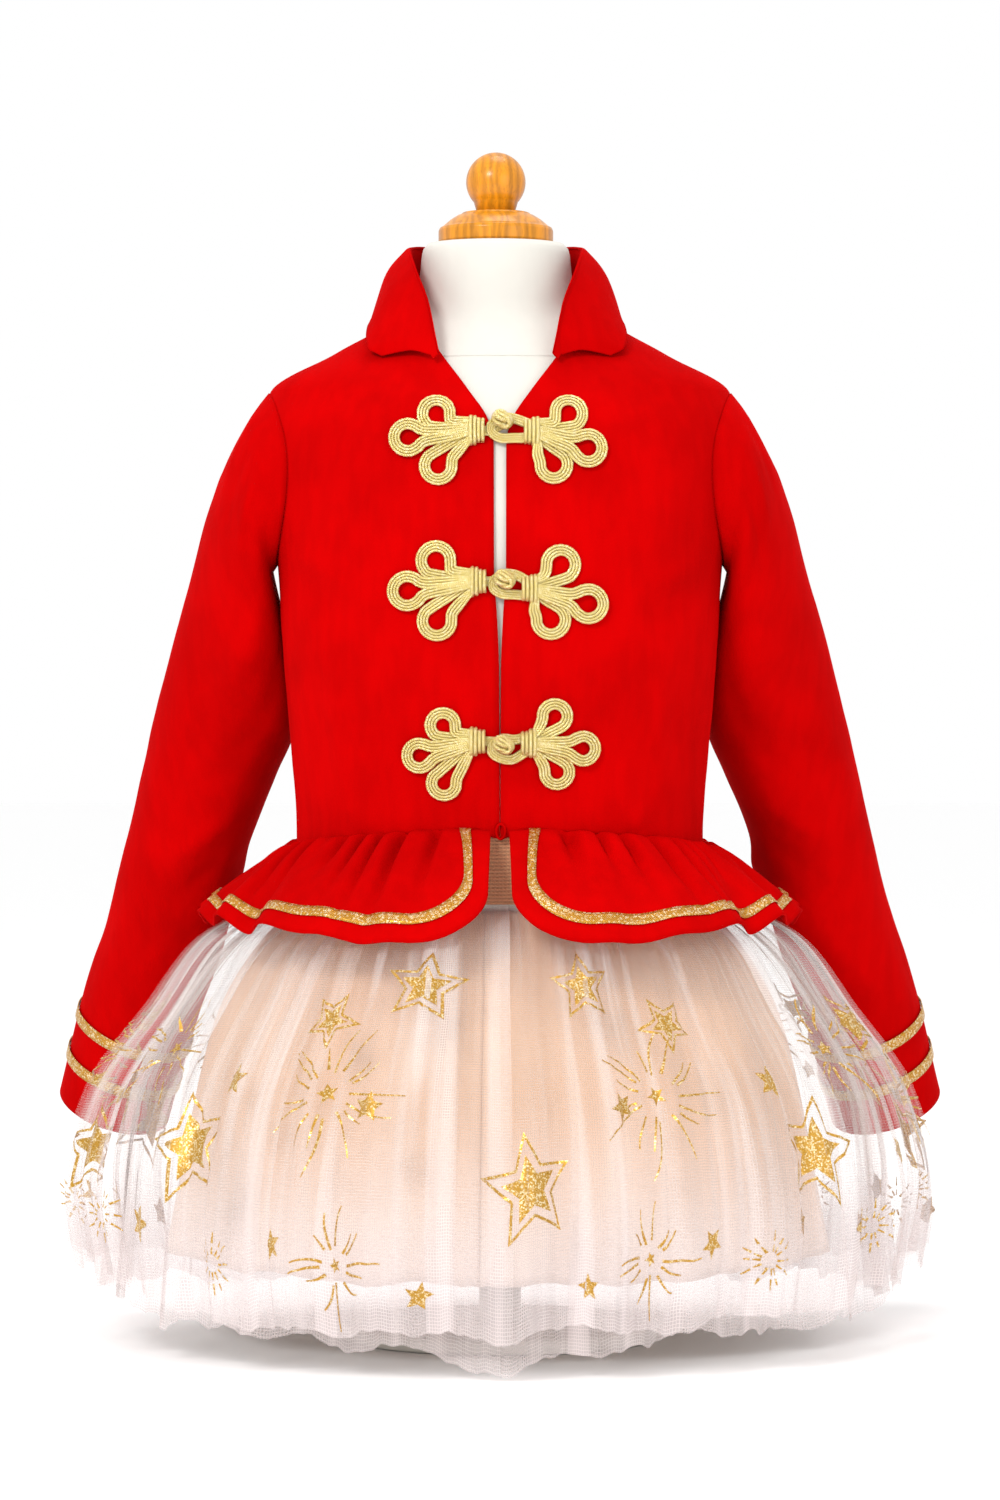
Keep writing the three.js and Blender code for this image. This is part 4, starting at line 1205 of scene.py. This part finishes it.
def prints(layer):
    """Every star, burst and sparkler of a layer, in one mesh."""
    whole = bmesh.new()

    def lay(u, share, cell, draw, *shapes):
        bm = bmesh.new()
        for shape in shapes:
            draw(bm, *shape)
        lay_print(bm, layer, u, share, cell)
        mesh = bpy.data.meshes.new("print")
        bm.to_mesh(mesh)
        bm.free()
        whole.from_mesh(mesh)
        bpy.data.meshes.remove(mesh)

    for u, share, radius, turn in BIG_STARS:
        lay(u, share, STAR_CELL, draw_star, (radius * 1.25, turn, OUTLINE_WIDTH))
        lay(u, share, STAR_CELL, draw_star, (radius * 0.74, turn + 3))
    for u, share, radius, turn in SMALL_STARS:
        lay(u, share, STAR_CELL, draw_star, (radius, turn))
    for u, share, radius, count in BURSTS:
        lay(u, share, RAY_CELL, draw_ray, *burst_rays(radius, count))
        lay(u, share, STAR_CELL, draw_star, (radius * 0.13, 400 * u))
    for u, share, radius, count in SPARKLERS:
        lay(u, share, RAY_CELL, draw_ray, *sparkler_rays(radius, count))
    return whole


# Frogs: the knot, each half's wrap and the middles of its three loops, by x and z on the chest

FROGS = {
    "top": {
        "knot": (1.5, 542), "radius": 11.4, "left": (-13.5, 538), "right": (18.3, 537),
        "left_loops": [(-37, 547.6), (-53.3, 533.6), (-35.8, 517.3)],
        "right_loops": [(39.9, 547.6), (50.9, 527.2), (31.1, 517.9)],
    },
    "middle": {
        "knot": (2.6, 451), "radius": 11.9, "left": (-12.5, 450), "right": (17, 445.5),
        "left_loops": [(-37, 462), (-53.3, 444.5), (-36.4, 427)],
        "right_loops": [(35.2, 459.7), (50.9, 437), (29.4, 427.7)],
    },
    "bottom": {
        "knot": (2, 355.5), "radius": 10.6, "left": (-13, 357), "right": (16.5, 356),
        "left_loops": [(-32.9, 366.6), (-46.3, 349), (-32.3, 332.8)],
        "right_loops": [(31.7, 371.8), (48, 353), (32.9, 339.2)],
    },
}
CORD = 0.98
BAND_LANES = (-2.55, -0.85, 0.85, 2.55)
BAND_HALF = 3.4
WRAP_CORD, WRAP_PITCH, WRAP_RISE = 1.3, 2.3, 4.9
WRAP_HEIGHTS = (7.9, 7.6, 6.2, 6.0)
ROUND_THE_KNOT = [(6.5, 2.6), (-0.8, 3.0), (-6.4, -1.2), (-6.2, -5.2), (-1.5, -8.2), (5.5, -8.8)]
KNOT_RADIUS, KNOT_CORD = 6.4, 1.5
KNOT_TILTS = [(0.45, 0.5), (-0.9, 0.75), (1.5, -0.5)]


def even_line(points, step):
    """A smooth line through points, with a point at each step of its length."""
    fine = [catmull(points, i / (12 * len(points))) for i in range(12 * len(points) + 1)]
    lengths = [0.0]
    for a, b in zip(fine, fine[1:]):
        lengths.append(lengths[-1] + (b - a).length)
    count = max(4, round(lengths[-1] / step))
    line, i = [], 0
    for k in range(count + 1):
        at = lengths[-1] * k / count
        while i < len(fine) - 2 and lengths[i + 1] < at:
            i += 1
        line.append(fine[i].lerp(fine[i + 1], clamp((at - lengths[i]) / (lengths[i + 1] - lengths[i]))))
    return line


def lay_band(bm, flat, squeezed, height):
    """A flat braid of parallel cords along points on the chest. squeezed(share) narrows it along its way."""
    line = even_line(flat, 1.0)
    last = len(line) - 1
    lengthwise = [line[min(i + 1, last)] - line[max(i - 1, 0)] for i in range(last + 1)]
    for number, lane in enumerate(BAND_LANES):
        placed = []
        for i, point in enumerate(line):
            share = i / last
            across = Vector((-lengthwise[i].y, lengthwise[i].x)).normalized()
            at = point + across * lane * squeezed(share)
            placed.append(chest_point(at.x, at.y, 0.3 + CORD + height(share)))
        tube(bm, placed, CORD, 8, 1.5 if number % 2 else -1.5, 2, 0.12)


def near_wrap(share):
    """1 where a loop's band is inside the wrap, at both its ends, and 0 away from it."""
    return smooth(min(share, 1 - share), 0.2, 0.03)


def middle_loop(bm, wrap, middle, radius):
    """A loop drawn out to a point: from the wrap, in at its neck, round and back."""
    wrap, middle = Vector(wrap), Vector(middle)
    away = (middle - wrap).normalized()
    side = Vector((-away.y, away.x))
    heading = math.atan2(away.y, away.x)
    neck = middle - away * radius
    ends = [(-2, 1.4), (4, 1.6)]
    there = [wrap + away * x + side * y for x, y in ends] + [neck + side * (BAND_HALF - 0.5)]
    back = [neck - side * (BAND_HALF - 0.5)] + [wrap + away * x - side * y for x, y in reversed(ends)]
    turned = [heading + lerp(2.2, -2.2, i / 8) for i in range(9)]
    ring = radius - BAND_HALF
    flat = there + [middle + Vector((math.cos(turn), math.sin(turn))) * ring for turn in turned] + back
    lay_band(bm, flat, lambda share: 1 - 0.5 * near_wrap(share), lambda share: 1.3 + 1.2 * near_wrap(share))


def outer_loop(bm, wrap, middle, radius):
    """An outer loop: along the half's edge to its near side, round, and back along its foot to the middle."""
    wrap, middle = Vector(wrap), Vector(middle)
    out, up = math.copysign(1, middle.x - wrap.x), math.copysign(1, middle.y - wrap.y)
    reach, rise = abs(middle.x - wrap.x), abs(middle.y - wrap.y)
    ring = radius - BAND_HALF
    foot = rise - ring
    local = [(-2, 4.4), (3, 5.0), (reach - ring - 1.2, max(5.2, rise - 0.7 * ring))]
    for i in range(11):
        turn = math.radians(lerp(188, -62, i / 10))
        local.append((reach + ring * math.cos(turn), rise + ring * math.sin(turn)))
    local += [(0.76 * reach, lerp(1.3, foot, 0.6)), (0.4 * reach, lerp(1.2, foot, 0.2)), (3, 1.3), (-2, 1.1)]
    flat = [wrap + Vector((x * out, y * up)) for x, y in local]
    lay_band(
        bm, flat, lambda share: 1 - 0.5 * near_wrap(share),
        lambda share: 0.8 * smooth(share, 0.45, 0.3) + 1.1 * near_wrap(share),
    )


def wrap_turns(bm, wrap, knot):
    """The cord wound round the half's bands where they meet, smaller toward the knot."""
    x, z = wrap
    toward = math.copysign(1, knot[0] - x)
    middle = (len(WRAP_HEIGHTS) - 1) / 2
    for i, height in enumerate(WRAP_HEIGHTS):
        at = x + toward * (i - middle) * WRAP_PITCH
        line = []
        for k in range(15):
            turn = math.pi * k / 14
            line.append(chest_point(at, z + height * math.cos(turn), 0.5 + WRAP_RISE * math.sin(turn) ** 0.6))
        tube(bm, line, WRAP_CORD, 8, 1.2, 2, 0.12)


def frog_half(frog, half):
    """Three loops and their wrap, and on the right the loop round the knot, on the left the knot's stem."""
    bm = bmesh.new()
    spec = FROGS[frog]
    upper, between, lower = spec[half + "_loops"]
    wrap, knot, radius = spec[half], spec["knot"], spec["radius"]
    outer_loop(bm, wrap, upper, radius)
    outer_loop(bm, wrap, lower, radius)
    middle_loop(bm, wrap, between, radius)
    wrap_turns(bm, wrap, knot)
    x, z = wrap
    if half == "right":
        flat = [Vector((x, z + 3.8))]
        flat += [Vector((knot[0] + right, knot[1] + up)) for right, up in ROUND_THE_KNOT]
        flat.append(Vector((x, z - 3.8)))
        lay_band(bm, flat, lambda share: 0.82, lambda share: 0.6)
    else:
        flat = [Vector((x, z)), Vector((lerp(x, knot[0], 0.5), z)), Vector(knot)]
        lay_band(bm, flat, lambda share: 0.8, lambda share: 0.0)
    close_ends(bm)
    return bm


def knot_ball(frog):
    """The knot button: a ball of doubled cord, wound in three directions."""
    x, z = FROGS[frog]["knot"]
    centre = chest_point(x, z, KNOT_RADIUS + 1.2)
    bm = bmesh.new()
    bmesh.ops.create_icosphere(bm, subdivisions=3, radius=(KNOT_RADIUS - 2.8) * MM)
    bmesh.ops.translate(bm, verts=bm.verts, vec=centre * MM)
    for number, (lean, swing) in enumerate(KNOT_TILTS):
        turned = Matrix.Rotation(swing, 3, "Y") @ Matrix.Rotation(lean, 3, "X")
        for side in (-1, 1):
            line = []
            for k in range(41):
                turn = 2 * math.pi * k / 40
                ring = KNOT_RADIUS - 2.1 + 0.9 * math.sin(2 * turn + number * 2.1)
                flat = Vector((ring * math.cos(turn), ring * math.sin(turn), side * 1.55))
                line.append(centre + turned @ flat)
            tube(bm, line, KNOT_CORD, 10, 1.3, 3, 0.14, closed=True)
    return bm


# Sizes and colours that a user would change


def colour_property(name, description, default):
    return bpy.props.FloatVectorProperty(
        name=name, description=description, default=default, subtype="COLOR", size=3, min=0.0, max=1.0
    )


def length_property(name, description, default, low, high):
    return bpy.props.FloatProperty(
        name=name, description=description, default=default, min=low, max=high,
        subtype="DISTANCE", unit="LENGTH", precision=5,
    )


class CostumeColours(bpy.types.PropertyGroup):
    """Colours of the cloths, the metal threads and the form."""

    velvet: colour_property("Velvet", "Pile of the jacket", (0.47, 0.0, 0.0003))
    braid: colour_property("Braid", "Metal thread of the frogs", (0.92, 0.80, 0.33))
    braid_shadow: colour_property("Braid shadow", "Between the frogs' threads", (0.42, 0.29, 0.06))
    ribbon: colour_property("Ribbon", "Gold ribbon", (0.66, 0.35, 0.035))
    ribbon_shadow: colour_property("Ribbon shadow", "Between the ribbon's threads", (0.36, 0.14, 0.02))
    foil: colour_property("Foil", "Print on the tulle", (0.60, 0.37, 0.045))
    tulle: colour_property("Tulle", "Netting near the waist", (0.72, 0.67, 0.65))
    tulle_hem: colour_property("Tulle hem", "Netting near the hem", (0.66, 0.58, 0.57))
    lining: colour_property("Lining", "Skirt lining", (0.66, 0.41, 0.26))
    lining_hem: colour_property("Lining hem", "Skirt lining near its hem", (0.84, 0.72, 0.66))
    elastic: colour_property("Elastic", "Waistband", (0.58, 0.28, 0.14))
    jersey: colour_property("Jersey", "Cover of the dress form", (0.67, 0.65, 0.59))
    wood: colour_property("Wood", "Turned cap and knob", (0.60, 0.22, 0.004))
    paint: colour_property("Paint", "Post and base", (0.62, 0.60, 0.54))


class CostumeSizes(bpy.types.PropertyGroup):
    """Thicknesses of the cloths."""

    velvet_wall: length_property("Velvet", "Thickness of the velvet", 0.0014, 0.0008, 0.003)
    ribbon_wall: length_property("Ribbon", "Thickness of the gold ribbon", 0.0005, 0.0002, 0.001)
    elastic_wall: length_property("Elastic", "Thickness of the waistband", 0.0015, 0.001, 0.003)
    lining_wall: length_property("Lining", "Thickness of the skirt lining", 0.0004, 0.0002, 0.001)


# The form: radius and height pairs of what is turned, and the heights between which its neck begins

FORM_LOW, FORM_TOP = 110, 656
NECK_BEGINS, NECK_LEVEL, BODY_TOP, NECK_ALONE = 600, 606, 612, 616
NECK_SEAM = 587
CAP = [
    (0, 656.4), (33.2, 656.4), (34.5, 657.6), (34.5, 664.2), (33.6, 666.0), (32.4, 666.4), (31.0, 667.6),
    (27.5, 670.6), (23.0, 673.4), (21.0, 674.0), (20.4, 674.8), (19.6, 675.2), (0, 675.2),
]
KNOB_RADIUS, KNOB_MIDDLE, KNOB_TOP = 17.9, 693.5, 711.4
POST = [(0, 10.3), (15, 10.3), (15, 13), (12.5, 16), (12.5, 104), (14, 107), (14, 109.5), (0, 109.5)]
BASE = [(0, 0), (94, 0), (95, 1), (95, 6), (93.5, 8.4), (90, 9.4), (82, 10), (0, 10)]


def form_place(u, v):
    angle, z = 2 * math.pi * u, lerp(FORM_LOW, FORM_TOP, v)
    neck = {name: curve(z) for name, curve in NECK.items()}
    point = body_point(angle, min(z, BODY_TOP), -FORM_INSET["inset"](z))
    height = lerp(point.z, z, smooth(z, NECK_BEGINS, NECK_LEVEL))
    point = point.lerp(oval(angle, z, squareness=2, **neck), smooth(z, NECK_BEGINS, NECK_ALONE))
    return Vector((point.x, point.y, z if z in (FORM_LOW, FORM_TOP) else height))


def knob_profile():
    profile = [(0, 675.6), (11.2, 675.6), (11.8, 676.4)]
    for i in range(1, 24):
        turn = math.radians(lerp(42, 180, i / 24))
        profile.append((KNOB_RADIUS * math.sin(turn), KNOB_MIDDLE - KNOB_RADIUS * math.cos(turn)))
    return profile + [(0, KNOB_TOP)]


# Operators


class FormOperator(bpy.types.Operator):
    """The dress form: jersey torso, its neck seam, turned cap and knob, post and base"""

    bl_idname = "costume.form"
    bl_label = "Dress form"

    def execute(self, context):
        colours = context.scene.costume_colours
        jersey, wood, paint = jersey_material(colours), wood_material(colours), paint_material(colours)
        bm = bmesh.new()
        lay_grid(bm, 120, 180, form_place, (0.72, 0.6))
        bmesh.ops.remove_doubles(bm, verts=bm.verts, dist=SAME_PLACE)
        close_ends(bm)
        finish_mesh("torso_cover", bm, jersey, ["form_torso"])

        bm = bmesh.new()
        out = 0.1 - FORM_INSET["inset"](NECK_SEAM)
        line = [body_point(2 * math.pi * i / 96, NECK_SEAM, out) for i in range(97)]
        tube(bm, line, 0.45, 6, 3.0, 2, 0.15, closed=True)
        finish_mesh("neck_seam", bm, jersey)

        lathe("turned_cap", CAP, (NECK_SHIFT, NECK_BACK, 0), wood, "form_cap")
        lathe("turned_knob", knob_profile(), (NECK_SHIFT, NECK_BACK, 0), wood, "form_knob")
        lathe("stand_post", POST, (0, 0, 0), paint, "form_post")
        lathe("stand_base", BASE, (0, 0, 0), paint, "form_base", 120)
        return {"FINISHED"}


class JacketOperator(bpy.types.Operator):
    """The jacket's fronts and back, in velvet"""

    bl_idname = "costume.jacket"
    bl_label = "Jacket body"

    def execute(self, context):
        velvet = velvet_material(context.scene.costume_colours)
        wall = context.scene.costume_sizes.velvet_wall
        for side, name in ((1, "right"), (-1, "left")):
            piece = cloth(
                f"front_{name}", 70, 130, front_place(side), (0.2, 0.32), velvet,
                [f"jacket_front_{name}"], wall,
            )
        piece = cloth("back", 130, 130, back_place, (0.4, 0.33), velvet, ["jacket_back"], wall)
        return {"FINISHED"}


class SleevesOperator(bpy.types.Operator):
    """Both sleeves with their gold cuff ribbons"""

    bl_idname = "costume.sleeves"
    bl_label = "Sleeves"

    def execute(self, context):
        colours, sizes = context.scene.costume_colours, context.scene.costume_sizes
        velvet, gold = velvet_material(colours), ribbon_material(colours)
        out = RIBBON_OUT + sizes.ribbon_wall / MM
        for side, name in ((1, "right"), (-1, "left")):
            for band, low, high in CUFF_BANDS:
                cloth(
                    f"cuff_band_{name}_{band}", 96, 3, sleeve_place(side, high, low, out), (0.235, 0.007),
                    gold, [f"cuff_ribbon_{name}_{band}"], sizes.ribbon_wall, True,
                )
            arm = cloth(
                f"arm_{name}", 96, 150, sleeve_place(side), (0.28, 0.46), velvet,
                [f"sleeve_{name}"], sizes.velvet_wall, True,
            )
        return {"FINISHED"}


class CollarOperator(bpy.types.Operator):
    """The collar, which stands at the neck and falls over"""

    bl_idname = "costume.collar"
    bl_label = "Collar"

    def execute(self, context):
        velvet = velvet_material(context.scene.costume_colours)
        piece = cloth(
            "neck_collar", 160, 36, collar_place, (0.40, 0.1), velvet, ["collar"],
            context.scene.costume_sizes.velvet_wall,
        )
        return {"FINISHED"}


class PeplumOperator(bpy.types.Operator):
    """The gathered peplum, its gold ribbon and the loop at the waist"""

    bl_idname = "costume.peplum"
    bl_label = "Peplum"

    def execute(self, context):
        colours, sizes = context.scene.costume_colours, context.scene.costume_sizes
        velvet = velvet_material(colours)
        out = RIBBON_OUT + sizes.ribbon_wall / MM
        ribbon = cloth(
            "peplum_band", 520, 3, peplum_place(RIBBON_INSET, RIBBON_INSET + RIBBON_WIDTH, out),
            (1.2, 0.0055), ribbon_material(colours), ["peplum_ribbon"], sizes.ribbon_wall,
        )
        ruffle = cloth(
            "ruffle", 520, 22, peplum_place(), (1.2, 0.066), velvet, ["peplum"], sizes.velvet_wall,
        )
        bm = bmesh.new()
        x, z, half_width, half_height = WAIST_LOOP
        loop = []
        for i in range(25):
            turn = 2 * math.pi * i / 24
            loop.append(chest_point(x + half_width * math.cos(turn), z + half_height * math.sin(turn), 1.6))
        tube(bm, loop, 0.8, 8, closed=True)
        finish_mesh("waist_loop", bm, velvet)
        return {"FINISHED"}


class FrogsOperator(bpy.types.Operator):
    """Three frogs of flat metal braid, each with its knot"""

    bl_idname = "costume.frogs"
    bl_label = "Frogs"

    def execute(self, context):
        braid = braid_material(context.scene.costume_colours)
        for frog in FROGS:
            for half in ("left", "right"):
                bm = frog_half(frog, half)
                finish_mesh(f"braid_{frog}_{half}", bm, braid, [f"frog_{frog}_{half}"])
            finish_mesh(f"knot_{frog}", knot_ball(frog), braid, [f"frog_{frog}_knot"])
        return {"FINISHED"}


class WaistbandOperator(bpy.types.Operator):
    """The skirt's ribbed elastic waistband"""

    bl_idname = "costume.waistband"
    bl_label = "Waistband"

    def execute(self, context):
        colours, sizes = context.scene.costume_colours, context.scene.costume_sizes
        piece = cloth(
            "elastic_band", 760, 12, waistband_place, (0.67, 0.047), elastic_material(colours),
            ["skirt_waistband"], sizes.elastic_wall, True,
        )
        return {"FINISHED"}


class SkirtOperator(bpy.types.Operator):
    """The star tulle with its print, the plain tulle and the lining"""

    bl_idname = "costume.skirt"
    bl_label = "Skirt"

    def execute(self, context):
        colours, sizes = context.scene.costume_colours, context.scene.costume_sizes
        star, under, lining = SKIRT.values()
        printed = finish_mesh("foil_print", prints(star), foil_material(colours))
        upper, lower = (tulle_material(name, colours, cover) for name, cover in SINGLE_COVER.items())
        veil = cloth(
            "star_layer", 900, 56, layer_place(star), (1.9, 0.24), upper,
            ["skirt_star_tulle"], round_it=True,
        )
        veil = cloth(
            "plain_layer", 720, 50, layer_place(under), (1.7, 0.26), lower,
            ["skirt_under_tulle"], round_it=True,
        )
        cover = cloth(
            "lining_layer", 360, 40, layer_place(lining, LINING_FINE), (1.25, 0.22), lining_material(colours),
            ["skirt_lining"], sizes.lining_wall, True,
        )
        return {"FINISHED"}


# The stage, in metres and watts: each lamp's place, what it is turned to, its width and its strength

LAMPS = {
    "key": ((-1.3, -2.5, 2.1), (0, 0, 0.4), 0.9, 52),
    "fill": ((1.8, -2.4, 1.0), (0, 0, 0.35), 1.8, 12),
    "top": ((0.2, 0.3, 2.6), (0, 0, 0.3), 1.2, 14),
}
FLOOR_SIZE, FLOOR_DROP = 30, 0.0004
CAMERA_PLACE = (0, -3.0, 0.352)
LENS, SENSOR_WIDTH = 120, 36
WHITE = (1, 1, 1, 1)


class StageOperator(bpy.types.Operator):
    """Pale floor, soft studio light and the camera"""

    bl_idname = "costume.stage"
    bl_label = "Stage"

    def execute(self, context):
        scene = context.scene
        bm = bmesh.new()
        bmesh.ops.create_grid(bm, x_segments=1, y_segments=1, size=FLOOR_SIZE)
        bmesh.ops.translate(bm, verts=bm.verts, vec=(0, 0, -FLOOR_DROP))
        mesh = bpy.data.meshes.new("floor")
        bm.to_mesh(mesh)
        bm.free()
        floor = bpy.data.objects.new("floor", mesh)
        scene.collection.objects.link(floor)
        finish = {"Base Color": (0.99, 0.99, 0.99, 1), "Roughness": 0.9, "Specular IOR Level": 0.1}
        mesh.materials.append(new_material("pale floor", finish)[0])

        world = bpy.data.worlds.new("studio")
        scene.world = world
        world.use_nodes = True
        sky = world.node_tree.nodes["Background"]
        sky.inputs["Color"].default_value = WHITE
        sky.inputs["Strength"].default_value = 1.0

        for name, (place, target, size, strength) in LAMPS.items():
            lamp = bpy.data.lights.new(name, "AREA")
            lamp.shape = "DISK"
            lamp.size = size
            lamp.energy = strength
            holder = bpy.data.objects.new(name, lamp)
            holder.location = place
            holder.rotation_euler = (Vector(target) - Vector(place)).to_track_quat("-Z", "Y").to_euler()
            scene.collection.objects.link(holder)

        eye = bpy.data.cameras.new("camera")
        eye.lens = LENS
        eye.sensor_width = SENSOR_WIDTH
        eye.clip_start, eye.clip_end = 0.05, 100
        camera = bpy.data.objects.new("camera", eye)
        camera.location = CAMERA_PLACE
        camera.rotation_euler = (math.radians(90), 0, 0)
        scene.collection.objects.link(camera)
        scene.camera = camera
        scene.view_settings.view_transform = "Standard"
        return {"FINISHED"}


OPERATORS = (
    FormOperator,
    JacketOperator,
    SleevesOperator,
    CollarOperator,
    PeplumOperator,
    FrogsOperator,
    WaistbandOperator,
    SkirtOperator,
    StageOperator,
)


class CostumePanel(bpy.types.Panel):
    """The costume's pieces, in the order in which they are made"""

    bl_label = "Costume"
    bl_idname = "VIEW3D_PT_costume"
    bl_space_type = "VIEW_3D"
    bl_region_type = "UI"
    bl_category = "Costume"

    def draw(self, context):
        for settings in (context.scene.costume_colours, context.scene.costume_sizes):
            for name in settings.bl_rna.properties.keys():
                if name not in ("rna_type", "name"):
                    self.layout.prop(settings, name)
        for operator in OPERATORS:
            self.layout.operator(operator.bl_idname)


CLASSES = (CostumeColours, CostumeSizes, *OPERATORS, CostumePanel)


def register():
    for each in CLASSES:
        bpy.utils.register_class(each)
    bpy.types.Scene.costume_colours = bpy.props.PointerProperty(type=CostumeColours)
    bpy.types.Scene.costume_sizes = bpy.props.PointerProperty(type=CostumeSizes)


def unregister():
    del bpy.types.Scene.costume_sizes
    del bpy.types.Scene.costume_colours
    for each in reversed(CLASSES):
        bpy.utils.unregister_class(each)


def main():
    register()
    for operator in OPERATORS:
        group_name, action = operator.bl_idname.split(".")
        getattr(getattr(bpy.ops, group_name), action)()


if __name__ == "__main__":
    main()
